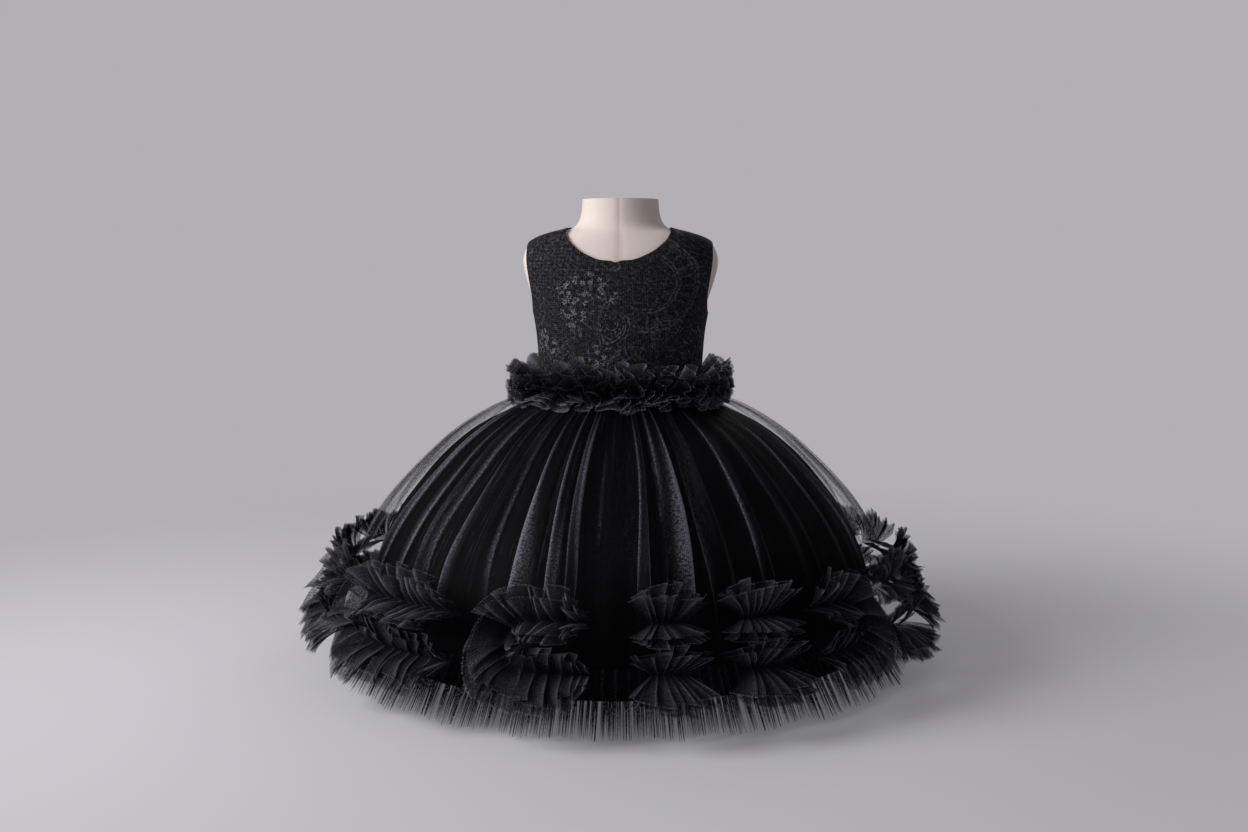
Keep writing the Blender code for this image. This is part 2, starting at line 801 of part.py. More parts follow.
def zip_pull(material):
    """The tab that hangs from the pin by its barrel."""
    frame = zip_frame()

    def barrel(bm):
        rod_mesh(bm, BARREL_RADIUS, BARREL_WIDTH, Vector((0, 0, 0)))

    def bore(bm):
        rod_mesh(bm, BARREL_BORE, 2 * BARREL_WIDTH, Vector((0, 0, 0)))

    def tab(bm):
        neck_end = -(BARREL_BORE + BARREL_RADIUS) / 2
        outline = [
            (PULL_NECK / 2, neck_end),
            (PULL_NECK / 2, -PULL_NECK_END),
            (PULL_WIDTH / 2, -PULL_SHOULDER),
            (PULL_WIDTH / 2, -PULL_LENGTH + PULL_CORNER),
            (PULL_WIDTH / 4, -PULL_LENGTH),
        ]
        outline += [(-across, up) for across, up in reversed(outline)]
        back = PULL_THICKNESS / 2
        face = bm.faces.new([bm.verts.new((x, y, -back)) for x, y in outline])
        moved = bmesh.ops.extrude_face_region(bm, geom=[face])["geom"]
        verts = [v for v in moved if isinstance(v, bmesh.types.BMVert)]
        bmesh.ops.translate(bm, verts=verts, vec=(0, 0, PULL_THICKNESS))

    pull = solid_from("zip_pull", barrel, material, frame)
    add_boolean(pull, "UNION", solid_from("zip_pull_tab", tab, material, frame, True))
    add_boolean(pull, "DIFFERENCE", solid_from("zip_pull_bore", bore, material, frame, True))
    return pull


def main():
    clear_scene()
    materials = make_materials()
    turned(
        "base_plate", BASE_RADIUS, 0, BASE_THICKNESS, BASE_SIDES, materials["steel"], BASE_BEVEL
    )
    turned(
        "pole",
        POLE_RADIUS,
        BASE_THICKNESS + SEAM_GAP,
        FORM_BOTTOM - SEAM_GAP,
        POLE_SIDES,
        materials["steel"],
    )
    form_torso(materials["linen"])
    bodice_front(materials["lace"])
    bodice_back("bodice_back_left", 1, materials["lace"])
    bodice_back("bodice_back_right", -1, materials["lace"])
    rows, angles = lining_rows()
    for label, front in (("front", True), ("back", False)):
        half = half_rows(rows, angles, front)
        cloth_wall("skirt_lining_" + label, [half], LINING_THICKNESS, materials["lining"])
    on_lining = partial(cloth_point, rows, LINING_HEIGHTS[::-1], angles)
    hem_flounce(on_lining, materials["tulle"])
    rows, angles = overlay_rows()
    for label, front in (("front", True), ("back", False)):
        half = half_rows(rows, angles, front)
        cloth_wall("skirt_overlay_" + label, [half], TULLE_THICKNESS, materials["tulle"])
    heights = [reach.height for reach in reversed(OVERLAY_FOLDS)]
    on_overlay = partial(cloth_point, rows, heights, angles)
    hem_ruffles(on_overlay, materials["tulle"])
    waist_ruffle(materials["tulle"])
    zip_tape(materials["zip_tape"])
    zip_slider(materials["zip_metal"])
    zip_pull(materials["zip_metal"])


main()
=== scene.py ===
# A child's sleeveless party dress of black lace and tulle, worn by a limbless dress form.
# Metres, +Z up, front towards -Y. Angles are degrees round the body from centre front, + towards +X.
import functools
import math

import bmesh
import bpy
from mathutils import Matrix, Vector, noise


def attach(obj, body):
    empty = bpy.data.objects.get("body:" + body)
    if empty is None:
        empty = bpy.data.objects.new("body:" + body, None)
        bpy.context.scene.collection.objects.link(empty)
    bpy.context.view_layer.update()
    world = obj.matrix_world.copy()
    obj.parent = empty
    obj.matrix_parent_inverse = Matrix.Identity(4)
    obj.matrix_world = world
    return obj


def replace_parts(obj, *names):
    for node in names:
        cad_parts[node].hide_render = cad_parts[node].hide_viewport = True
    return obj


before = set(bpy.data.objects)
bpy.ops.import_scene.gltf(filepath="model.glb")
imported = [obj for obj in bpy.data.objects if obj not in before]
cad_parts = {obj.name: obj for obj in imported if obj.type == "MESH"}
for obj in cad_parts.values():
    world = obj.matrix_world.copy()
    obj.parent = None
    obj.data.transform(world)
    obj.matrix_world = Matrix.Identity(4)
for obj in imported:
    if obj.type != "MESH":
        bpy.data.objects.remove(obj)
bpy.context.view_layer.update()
print("frame loaded:", len(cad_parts), "nodes")

# Outlines shared by the pieces: height, half width, half depth
formOutline = (
    (0.2360, 0.1000, 0.0760), (0.2500, 0.1050, 0.0800), (0.3000, 0.1030, 0.0790),
    (0.3450, 0.1005, 0.0750), (0.4000, 0.1030, 0.0755), (0.4300, 0.1062, 0.0750),
    (0.4600, 0.1125, 0.0730), (0.4800, 0.1190, 0.0705), (0.5000, 0.1245, 0.0675),
    (0.5140, 0.1258, 0.0645), (0.5250, 0.1228, 0.0612), (0.5340, 0.1170, 0.0582),
    (0.5400, 0.1070, 0.0562), (0.5450, 0.0920, 0.0546), (0.5490, 0.0750, 0.0528),
    (0.5530, 0.0625, 0.0508), (0.5600, 0.0550, 0.0486), (0.5720, 0.0505, 0.0470),
    (0.5900, 0.0488, 0.0460),
)
overlayOutline = (
    (0.0200, 0.3735, 0.3735), (0.0600, 0.3650, 0.3645), (0.1000, 0.3540, 0.3520),
    (0.1350, 0.3420, 0.3380), (0.1720, 0.3245, 0.3180), (0.2055, 0.3020, 0.2920),
    (0.2320, 0.2785, 0.2645), (0.2585, 0.2520, 0.2360), (0.2850, 0.2230, 0.2040),
    (0.3075, 0.1910, 0.1690), (0.3260, 0.1570, 0.1320), (0.3365, 0.1270, 0.1010),
    (0.3424, 0.1062, 0.0812),
)
liningOutline = (
    (0.0360, 0.3390, 0.3390), (0.0720, 0.3310, 0.3310), (0.1200, 0.3180, 0.3170),
    (0.1600, 0.3030, 0.3000), (0.1960, 0.2830, 0.2760), (0.2250, 0.2610, 0.2500),
    (0.2500, 0.2400, 0.2270), (0.2740, 0.2150, 0.2000), (0.2980, 0.1830, 0.1640),
    (0.3180, 0.1450, 0.1230), (0.3310, 0.1170, 0.0925), (0.3423, 0.1037, 0.0783),
)


@functools.lru_cache(maxsize=None)
def outlineAt(rows, height):
    # half width and half depth on a smooth curve through the rows
    places = [row[0] for row in rows]
    height = min(max(height, places[0]), places[-1])
    last = len(rows) - 1
    left = max(0, min(last - 1, sum(place <= height for place in places) - 1))
    span = places[left + 1] - places[left]
    share = (height - places[left]) / span
    found = []
    for column in range(1, len(rows[0])):
        start, end = rows[left][column], rows[left + 1][column]
        slopes = []
        for i in (left, left + 1):
            low, high = max(i - 1, 0), min(i + 1, last)
            slopes.append((rows[high][column] - rows[low][column]) / (places[high] - places[low]) * span)
        bend = share * (1 - share)
        eased = share * share * (3 - 2 * share)
        found.append(start + (end - start) * eased
                     + bend * ((1 - share) * slopes[0] - share * slopes[1]))
    return tuple(found)


def onOutline(rows, angle, height):
    width, depth = outlineAt(rows, height)
    turn = math.radians(angle)
    return Vector((width * math.sin(turn), -depth * math.cos(turn), height))


def outOf(rows, angle, height):
    around = onOutline(rows, angle + 0.05, height) - onOutline(rows, angle - 0.05, height)
    upward = onOutline(rows, angle, height + 0.0002) - onOutline(rows, angle, height - 0.0002)
    return around.cross(upward).normalized()


def standOff(rows, angle, height, away):
    return onOutline(rows, angle, height) + outOf(rows, angle, height) * away


def stepAt(u, count):
    # which of count steps round the body u lies in, and the share of that step
    spot = (u % 1.0) * count
    return int(spot) % count, spot - int(spot)


def eased(share):
    share = min(max(share, 0.0), 1.0)
    return share * share * (3 - 2 * share)


def mixed(low, high, share):
    return low + (high - low) * share


def drift(x, y, z):
    return noise.noise(Vector((x, y, z)))


def readList(pairs, value):
    # straight lines through (place, value) pairs
    for (a, low), (b, high) in zip(pairs, pairs[1:]):
        if value <= b:
            return mixed(low, high, min(max((value - a) / (b - a), 0), 1))
    return pairs[-1][1]


def meshFrom(bm, name, sharp=None):
    mesh = bpy.data.meshes.new(name)
    bm.to_mesh(mesh)
    bm.free()
    if sharp:
        mesh.shade_smooth()
        mesh.set_sharp_from_angle(angle=math.radians(sharp))
    return mesh


mergeGap = 0.00005


def clothGrid(name, columns, rows, place, size, material, ring=False, wall=0.0):
    # A sheet whose point at (u, v) is place(u, v), with its flat size in metres on the UV map.
    # It reckons the cut's size, the mean length of its columns and the width that gives its area, but keeps neither.
    bm = bmesh.new()
    bm.loops.layers.uv.new("cut")
    dense = bm.verts.layers.float.new("dense")
    bmesh.ops.create_grid(bm, x_segments=columns, y_segments=rows, size=0.5, calc_uvs=True)
    uv = bm.loops.layers.uv.active
    for face in bm.faces:
        for loop in face.loops:
            loop[uv].uv = ((loop.vert.co.x + 0.5) * size[0], (loop.vert.co.y + 0.5) * size[1])
    for vert in bm.verts:
        found = place(vert.co.x + 0.5, vert.co.y + 0.5)
        vert.co, vert[dense] = found if isinstance(found, tuple) else (found, 0.0)
    points, wide = [vert.co.copy() for vert in bm.verts], columns + 1
    length = sum((points[y * wide + x] - points[(y + 1) * wide + x]).length
                 for x in range(wide) for y in range(rows)) / wide
    round(sum(face.calc_area() for face in bm.faces) / length, 3)
    if ring:
        bmesh.ops.remove_doubles(bm, verts=bm.verts, dist=mergeGap)
    bmesh.ops.recalc_face_normals(bm, faces=bm.faces)
    mesh = meshFrom(bm, name)
    mesh.shade_smooth()
    piece = addPiece(name, mesh, material)
    if wall:
        thickness = piece.modifiers.new("wall", "SOLIDIFY")
        thickness.thickness, thickness.offset = wall, 0.0
    return piece


def addObject(name, data):
    made = bpy.data.objects.new(name, data)
    bpy.context.scene.collection.objects.link(made)
    return made


def addPiece(name, mesh, material):
    piece = addObject(name, mesh)
    mesh.materials.clear()
    mesh.materials.append(material)
    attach(piece, "dress")
    return piece


# Camera first, then the finishes
viewpoint = {"distance": 1.8, "azimuth": 3.5, "height": 0.515, "pitch": 6.5, "lens": 39.95, "shift": 0.0028}


def setCamera():
    camera = addObject("camera", bpy.data.cameras.new("camera"))
    turn = math.radians(viewpoint["azimuth"])
    camera.location = (viewpoint["distance"] * math.sin(turn),
                       -viewpoint["distance"] * math.cos(turn), viewpoint["height"])
    camera.rotation_euler = (math.radians(90 - viewpoint["pitch"]), 0, turn)
    camera.data.lens = viewpoint["lens"]
    camera.data.shift_x = viewpoint["shift"]
    bpy.context.scene.camera = camera


setCamera()


class Varying:
    # a number, place or colour that varies over a surface: a sum with it adds nodes to its tree
    def __init__(self, socket):
        self.socket, self.tree = socket, socket.id_data

    def __add__(self, other):
        return calc("ADD", self, other)

    def __sub__(self, other):
        return calc("SUBTRACT", self, other)

    def __rsub__(self, other):
        return calc("SUBTRACT", other, self)

    def __mul__(self, other):
        return calc("MULTIPLY", self, other)

    def __truediv__(self, other):
        return calc("DIVIDE", self, other)

    def __rtruediv__(self, other):
        return calc("DIVIDE", other, self)

    def __abs__(self):
        return calc("ABSOLUTE", self)

    def limited(self):
        # kept between 0 and 1
        self.socket.node.use_clamp = True
        return self

    def beside(self, name):
        # another output of the same node
        return Varying(self.socket.node.outputs[name])

    __radd__, __rmul__ = __add__, __mul__


def treeOf(values):
    return next(value.tree for value in values if isinstance(value, Varying))


def calc(operation, *values):
    return put(treeOf(values), "Math", dict(enumerate(values)), operation=operation)


def vector(operation, *values, out=0):
    return put(treeOf(values), "VectorMath", dict(enumerate(values)), out, operation=operation)


def most(first, second):
    return calc("MAXIMUM", first, second)


def layered(values):
    return functools.reduce(most, values)


def feed(value, socket):
    if isinstance(value, Varying):
        socket.id_data.links.new(value.socket, socket)
    else:
        socket.default_value = value


def fill(node, inputs):
    for key, value in inputs.items():
        feed(value, node.inputs[key])


def put(tree, kind, inputs=None, out=0, **settings):
    made = tree.nodes.new("ShaderNode" + kind)
    for key, value in settings.items():
        setattr(made, key, value)
    fill(made, inputs or {})
    return Varying(made.outputs[out])


def ramp(value, low, high, start=0.0, end=1.0):
    return put(value.tree, "MapRange", {"Value": value, "From Min": low, "From Max": high, "To Min": start,
                                        "To Max": end}, interpolation_type="SMOOTHSTEP")


def blendColour(share, first, second):
    return put(share.tree, "Mix", {0: share, 6: first, 7: second}, 2, data_type="RGBA")


def scaled(value, factor):
    return put(treeOf((value, factor)), "VectorMath", {0: value, "Scale": factor}, operation="SCALE")


def split(place):
    x = put(place.tree, "SeparateXYZ", {0: place})
    return x, x.beside("Y")


def noiseOn(place, scale, detail, rough=0.5, out="Fac"):
    return put(place.tree, "TexNoise", {"Vector": place, "Scale": scale, "Detail": detail, "Roughness": rough}, out)


def streaksOn(across, count, detail, rough=0.5):
    # noise in one direction, count to the metre
    return put(across.tree, "TexNoise", {"W": across * count, "Detail": detail, "Roughness": rough},
               noise_dimensions="1D")


def bumped(height, strength, distance):
    return put(height.tree, "Bump", {"Height": height, "Strength": strength, "Distance": distance})


def newGroup(name, inputs, outputs):
    # inputs by their first value: None and three numbers are places. Outputs are numbers.
    tree = bpy.data.node_groups.new(name, "ShaderNodeTree")
    for label, value in inputs.items():
        kind = "Float" if isinstance(value, float) else "Vector"
        socket = tree.interface.new_socket(label, in_out="INPUT", socket_type="NodeSocket" + kind)
        if value is not None:
            socket.default_value = value
    for label in outputs:
        tree.interface.new_socket(label, in_out="OUTPUT", socket_type="NodeSocketFloat")
    given = tree.nodes.new("NodeGroupInput").outputs
    return tree, {label: Varying(given[label]) for label in inputs}, tree.nodes.new("NodeGroupOutput")


def makeNetGroup():
    # Hexagonal net: 1 on a thread, 0 in a hole
    tree, given, out = newGroup("threadNet", {"Place": None, "Cell": 0.0012, "Thread": 0.2}, ["Mask"])
    cells = put(tree, "TexVoronoi", {"Vector": given["Place"], "Scale": 1.0 / given["Cell"], "Randomness": 0.32},
                "Distance", feature="DISTANCE_TO_EDGE", voronoi_dimensions="2D")
    thread = given["Thread"]
    fill(out, {"Mask": put(tree, "MapRange", {"Value": cells, "From Min": thread, "From Max": thread * 1.6,
                                              "To Min": 1.0, "To Max": 0.0})})
    return tree


def makeFadeGroup():
    # Slow unevenness of dye and handling
    tree, given, out = newGroup("unevenness", {"Place": None, "Scale": 9.0, "Amount": 0.2}, ["Factor"])
    fill(out, {"Factor": (noiseOn(given["Place"], given["Scale"], 4.0, 0.6) - 0.5) * given["Amount"] + 1.0})
    return tree


netGroup = makeNetGroup()
fadeGroup = makeFadeGroup()


def useGroup(group, inputs, out=0):
    return put(inputs["Place"].tree, "Group", inputs, out, node_tree=group)


def netOn(place, cell, thread):
    return useGroup(netGroup, {"Place": place, "Cell": cell, "Thread": thread})


def fadeOn(place, scale, amount):
    return useGroup(fadeGroup, {"Place": place, "Scale": scale, "Amount": amount})


def cutPlace(tree):
    return put(tree, "UVMap", uv_map="cut")


def objectPlace(tree):
    return put(tree, "TexCoord", out="Object")


# dense: on the tulle, more cover and a painted highlight; on the torso, the seams
def denseOf(tree):
    return put(tree, "Attribute", out="Fac", attribute_name="dense")


def newMaterial(name):
    material = bpy.data.materials.new(name)
    material.use_nodes = True
    tree = material.node_tree
    return material, tree, tree.nodes["Principled BSDF"]


tulleFinish = {
    "thread": (0.0035, 0.0035, 0.0048, 1), "cell": 0.0013, "sheen": 0.02, "roughness": 0.75,
    "speckle": {"both": (0.7, 1.3), "low": (0.45, 1.55), None: (0.45, 1.55)},
    "strands": {"both": 420.0, "low": 90.0},   # to the metre
    "clumps": (260.0, 27.0, 1.4), "netThread": 0.10, "tint": (0.75, 0.76, 0.88, 1), "specular": 0.02,
}


def makeTulle(name, length, lit, cover, foldCover, edgeWidth, fringe):
    # cover is what the flat net hides, foldCover what a fold seen edge-on hides; lit is the colour of a painted
    # highlight
    material, tree, shader = newMaterial(name)
    uv = cutPlace(tree)
    across, along = split(uv)
    net = netOn(uv, tulleFinish["cell"], tulleFinish["netThread"])
    dense = denseOf(tree)
    speckle = ramp(noiseOn(uv, 360.0, 3.0, 0.8), 0.36, 0.64, *tulleFinish["speckle"][fringe])
    grain = (net * 0.55 + 0.72) * speckle
    hidden = (dense * (foldCover - cover) + cover).limited()
    hidden = (hidden * grain).limited()
    hidden = (hidden * fadeOn(uv, 14.0, 0.7)).limited()
    if fringe == "low":
        # the flounce hangs as fine separate streaks, in clumps
        fine, coarse, share = tulleFinish["clumps"]
        thick = streaksOn(across, fine, 3.0, 0.7) + streaksOn(across, coarse, 1.0) * share
        hidden = hidden * most(ramp(thick, 0.99, 1.08, 0.03, 1.45), ramp(along, 0.040, 0.060))
    fromEdge = along if fringe == "low" else calc("MINIMUM", along, length - along)
    if fringe:
        # the cut edge: threads end at uneven lengths
        strands = streaksOn(across, tulleFinish["strands"][fringe], 4.0, 0.8)
        hidden = hidden * calc("GREATER_THAN", fromEdge, ramp(strands, 0.40, 0.66) * edgeWidth)
    # where dense is high the thread colour is lifted towards lit: a painted highlight on folds, crests and pleat tops
    shown = calc("POWER", dense, 1.4) * grain
    # a thin painted highlight along both cut edges
    if fringe == "both":
        shown = most(shown, ramp(fromEdge, 0.0026, 0.0008))
    fill(shader, {"Base Color": blendColour(shown, tulleFinish["thread"], (lit, lit, 1.2 * lit, 1)),
                  "Alpha": hidden, "Normal": bumped(net, 0.25, 0.0004), "Roughness": tulleFinish["roughness"],
                  "Sheen Weight": tulleFinish["sheen"], "Sheen Roughness": 0.4,
                  "Sheen Tint": tulleFinish["tint"], "Specular IOR Level": tulleFinish["specular"]})
    return material


# The covered torso
torso = {"columns": 96, "rows": 150, "low": 0.2360, "high": 0.5900, "seam": 0.0005, "seamWidth": 0.9,
         "capRings": (0.006, 0.012), "sharp": 55}


def makeCover():
    material, tree, shader = newMaterial("creamCover")
    place = objectPlace(tree)
    weave = []
    for turned in (0.7, -0.7):
        mapped = put(tree, "Mapping", {"Vector": place, "Rotation": (0, 0, turned)})
        weave.append(put(tree, "TexWave", {"Vector": mapped, "Scale": 700.0, "Distortion": 0.6}, "Fac"))
    threads = weave[0] * weave[1]
    base = blendColour(threads, (0.78, 0.665, 0.61, 1), (0.86, 0.755, 0.695, 1))
    base = blendColour(denseOf(tree) * 0.6, base, (0.55, 0.43, 0.38, 1))
    fill(shader, {"Base Color": scaled(base, fadeOn(place, 7.0, 0.16)), "Normal": bumped(threads, 0.3, 0.0003),
                  "Roughness": 0.82, "Sheen Weight": 0.25})
    return material


def makeTorso():
    bm = bmesh.new()
    dense = bm.verts.layers.float.new("dense")
    bmesh.ops.create_grid(bm, x_segments=torso["columns"], y_segments=torso["rows"], size=0.5)
    for vert in bm.verts:
        u, v = vert.co.x + 0.5, vert.co.y + 0.5
        height, angle = mixed(torso["low"], torso["high"], v), 360 * u
        toSeam = min(abs((angle - centre + 180) % 360 - 180) for centre in (0, 90, 180, 270))
        seam = math.exp(-(toSeam / torso["seamWidth"]) ** 2)
        vert.co = onOutline(formOutline, angle, height) - outOf(formOutline, angle, height) * torso["seam"] * seam
        vert[dense] = seam
    bmesh.ops.remove_doubles(bm, verts=bm.verts, dist=mergeGap)
    for rim in [[edge for edge in bm.edges if edge.is_boundary and (edge.verts[0].co.z > 0.4) == top]
                for top in (True, False)]:
        bmesh.ops.contextual_create(bm, geom=rim)
    caps = [face for face in bm.faces if len(face.verts) > 4]
    for inwards in torso["capRings"]:
        bmesh.ops.inset_individual(bm, faces=caps, thickness=inwards, depth=0.0)
    bmesh.ops.recalc_face_normals(bm, faces=bm.faces)
    piece = addPiece("coveredTorso", meshFrom(bm, "coveredTorso", torso["sharp"]), makeCover())
    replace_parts(piece, "form_torso")


makeTorso()
print("torso done")

# The stand: a turned plate and pole
stand = {"plateRadius": 0.115, "plateTop": 0.010, "edge": 0.002, "poleRadius": 0.009, "poleTop": 0.2357,
         "collarRadius": 0.0135, "collarTop": 0.022, "collarEdge": 0.002, "gap": 0.0003, "sides": 96, "sharp": 35}


def makeEnamel():
    material, tree, shader = newMaterial("satinEnamel")
    place = objectPlace(tree)
    grain = noiseOn(place, 1400.0, 2.0)
    fill(shader, {"Base Color": scaled((0.62, 0.61, 0.60), fadeOn(place, 20.0, 0.25)), "Metallic": 0.25,
                  "Roughness": ramp(grain, 0.2, 0.8, 0.32, 0.46), "Normal": bumped(grain, 0.12, 0.0002)})
    return material


def turnedPiece(name, profile, material, nodeName):
    # profile runs from the axis at the foot to the axis at the top: radius, height
    bm = bmesh.new()
    verts = [bm.verts.new((radius, 0, height)) for radius, height in profile]
    edges = [bm.edges.new(pair) for pair in zip(verts, verts[1:])]
    bmesh.ops.spin(bm, geom=verts + edges, cent=(0, 0, 0), axis=(0, 0, 1), angle=2 * math.pi,
                   steps=stand["sides"], use_merge=True)
    bmesh.ops.remove_doubles(bm, verts=bm.verts, dist=0.00002)
    bmesh.ops.recalc_face_normals(bm, faces=bm.faces)
    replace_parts(addPiece(name, meshFrom(bm, name, stand["sharp"]), material), nodeName)


def roundedEdge(radius, height, size, side):
    # three points of a rounded corner, outside first when it faces up
    return [(radius - size + size * math.cos(turn), height - side * size + side * size * math.sin(turn))
            for turn in (0, math.pi / 6, math.pi / 3, math.pi / 2)]


def makeStand():
    enamel = makeEnamel()
    plate = [(0, 0)] + list(reversed(roundedEdge(stand["plateRadius"], 0, stand["edge"] / 2, -1)))
    plate += roundedEdge(stand["plateRadius"], stand["plateTop"], stand["edge"], 1) + [(0, stand["plateTop"])]
    turnedPiece("standPlate", plate, enamel, "base_plate")
    low = stand["plateTop"] + stand["gap"]
    pole = [(0, low), (stand["collarRadius"], low)]
    pole += roundedEdge(stand["collarRadius"], stand["collarTop"], stand["collarEdge"], 1)
    pole += [(stand["poleRadius"], stand["collarTop"]), (stand["poleRadius"], stand["poleTop"])]
    pole.append((0, stand["poleTop"]))
    turnedPiece("standPole", pole, enamel, "pole")


makeStand()
print("stand done")

# The lace bodice
bodice = {
    "wall": 0.0013, "middle": 0.00075, "ease": 0.0032, "shoulderEase": 0.0009, "easeFrom": 0.500,
    "easeOver": 0.030, "focus": 14, "hem": 0.3432, "seam": 0.22, "zipSlot": 0.9, "columns": 46, "rows": 120,
    "cut": ((0.320, 0.215), (0.160, 0.220)), "cutShare": 0.82, "net": (0.30, 0.21), "across": 0.400,
    "ratio": 1.37, "neckGap": 0.006,
}
# Rows of a panel, hem to shoulder: angle and height on the neck side, then on the armhole side
sideRows = (
    (0.0, 0.3432, 90.0, 0.3432), (0.0, 0.3680, 90.0, 0.3680), (0.0, 0.3950, 90.0, 0.3930),
    (0.0, 0.4220, 90.0, 0.4180), (0.0, 0.4480, 90.0, 0.4420),
)
frontRows = sideRows + (
    (0.0, 0.4700, 79.0, 0.4510), (0.0, 0.4910, 70.0, 0.4710), (0.0, 0.5090, 66.5, 0.4930),
    (10.0, 0.5130, 66.0, 0.5030), (20.5, 0.5225, 66.5, 0.5120), (29.5, 0.5340, 68.5, 0.5200),
    (39.5, 0.5425, 72.5, 0.5270), (58.0, 0.5490, 79.5, 0.5325), (90.0, 0.5525, 90.0, 0.5375),
)
backRows = sideRows + (
    (0.0, 0.4740, 77.0, 0.4510), (0.0, 0.4980, 66.0, 0.4710), (0.0, 0.5180, 62.0, 0.4930),
    (0.0, 0.5350, 62.0, 0.5060), (16.0, 0.5390, 64.0, 0.5150), (33.0, 0.5450, 69.0, 0.5240),
    (55.0, 0.5495, 77.0, 0.5315), (90.0, 0.5525, 90.0, 0.5375),
)


def bodicePoint(angle, height, out):
    onShoulder = eased((height - bodice["easeFrom"]) / bodice["easeOver"])
    onShoulder *= abs(math.sin(math.radians(angle))) ** bodice["focus"]
    away = mixed(bodice["ease"], bodice["shoulderEase"], onShoulder) + out
    return standOff(formOutline, angle, height, away)


def panelSpot(rows, across, up):
    place = up * (len(rows) - 1)
    left = min(int(place), len(rows) - 2)
    share = place - left
    low, high = max(left - 1, 0), min(left + 2, len(rows) - 1)
    values = []
    for column in range(4):
        a, b, c, d = (rows[i][column] for i in (low, left, left + 1, high))
        if a == b == c or b == c:
            values.append(mixed(b, c, share))
            continue
        values.append(b + 0.5 * share * (c - a + share * (2 * a - 5 * b + 4 * c - d
                                                         + share * (3 * (b - c) + d - a))))
    angle = mixed(values[0], values[2], across)
    return min(max(angle, 0.0), 90.0 - bodice["seam"]), mixed(values[1], values[3], across)


def newMotif(name, size, more):
    # A motif's group, and the place on it: moved to its centre, turned, and measured in its own size
    tree, given, out = newGroup(name, {"Place": None, "Centre": (0, 0, 0), "Turn": 0.0, "Size": size, **more},
                                ["Cord", "Fill"])
    moved = vector("SUBTRACT", given["Place"], given["Centre"])
    turned = put(tree, "VectorRotate", {"Vector": moved, "Angle": given["Turn"]}, rotation_type="Z_AXIS")
    return tree, given, out, *split(scaled(turned, 1.0 / given["Size"]))


def ringsAt(reach, rings):
    return layered(ramp(abs(reach - ring), half * 1.5, half * 0.5) for ring, half in rings)


def makePaisleyGroup():
    # A teardrop of concentric cords, curled at its tip. Size is its half length.
    tree, given, out, x, y = newMotif("paisley", 0.02, {"Curl": 0.5})
    x = (x - y * abs(y) * given["Curl"]) / most(0.62 - y * 0.42, 0.10)
    reach, turns = calc("SQRT", x * x + y * y), calc("ARCTAN2", x, y)
    cord = ringsAt(reach, ((1.0, 0.055), (0.84, 0.035), (0.46, 0.04), (0.30, 0.03)))
    bead = ramp(calc("SINE", turns * 15.0), 0.1, 0.5) * ramp(abs(reach - 0.65), 0.12, 0.05)
    scallop = abs(calc("SINE", turns * 9.0)) * 0.10 + 1.14
    rim = ramp(abs(reach - scallop), 0.05, 0.02)
    fill(out, {"Cord": layered((cord, rim, bead * 0.8)), "Fill": ramp(reach, 1.20, 1.12)})
    return tree


def makeScrollGroup():
    # An open scroll: two cords with ladder bars between them, over part of a turn
    tree, given, out, x, y = newMotif("scroll", 0.03, {"Growth": 0.10, "Reach": 2.6})
    turns = calc("ARCTAN2", y, x)
    reach = calc("SQRT", x * x + y * y) - turns * given["Growth"]
    window = ramp(abs(turns) - given["Reach"], 0.15, -0.15)
    cord = ringsAt(reach, ((1.0, 0.030), (0.93, 0.018), (0.62, 0.022), (0.56, 0.016)))
    bars = ramp(calc("SINE", turns * 26.0), 0.45, 0.8) * ramp(abs(reach - 0.775), 0.17, 0.14)
    band = ramp(reach, 1.08, 1.02) * ramp(reach, 0.46, 0.52)
    fill(out, {"Cord": most(cord, bars * 0.7) * window * 0.8, "Fill": band * window * 0.45})
    return tree


# Lace motifs, placed on the flat cloth in metres: x round the body from centre front, y up from the hem.
# kind, x, y, turn in degrees, size, curl or growth, half angle of a scroll
laceMotifs = {
    "front": (
        ("paisley", -0.007, 0.092, -38, 0.0215, 0.45), ("scroll", 0.030, 0.142, 22, 0.062, 0.012, 1.35),
        ("paisley", -0.058, 0.044, 28, 0.024, -0.4), ("scroll", 0.020, 0.034, 150, 0.030, 0.03),
        ("paisley", 0.050, 0.078, -160, 0.019, 0.4), ("paisley", -0.118, 0.035, 160, 0.020, 0.5),
        ("scroll", 0.125, 0.040, 60, 0.034, 0.03), ("paisley", -0.034, 0.008, 96, 0.016, -0.4),
        ("scroll", -0.112, 0.110, 20, 0.026, 0.03),
    ),
    "back": (
        ("paisley", 0.052, 0.060, 30, 0.025, 0.45), ("scroll", 0.068, 0.138, 160, 0.044, 0.02),
        ("paisley", 0.104, 0.050, -70, 0.024, 0.4), ("scroll", 0.030, 0.022, 20, 0.026, 0.03),
        ("paisley", 0.025, 0.118, -30, 0.020, -0.4), ("paisley", 0.085, 0.094, 120, 0.017, 0.4),
        ("paisley", 0.130, 0.078, 60, 0.018, 0.4),
    ),
}
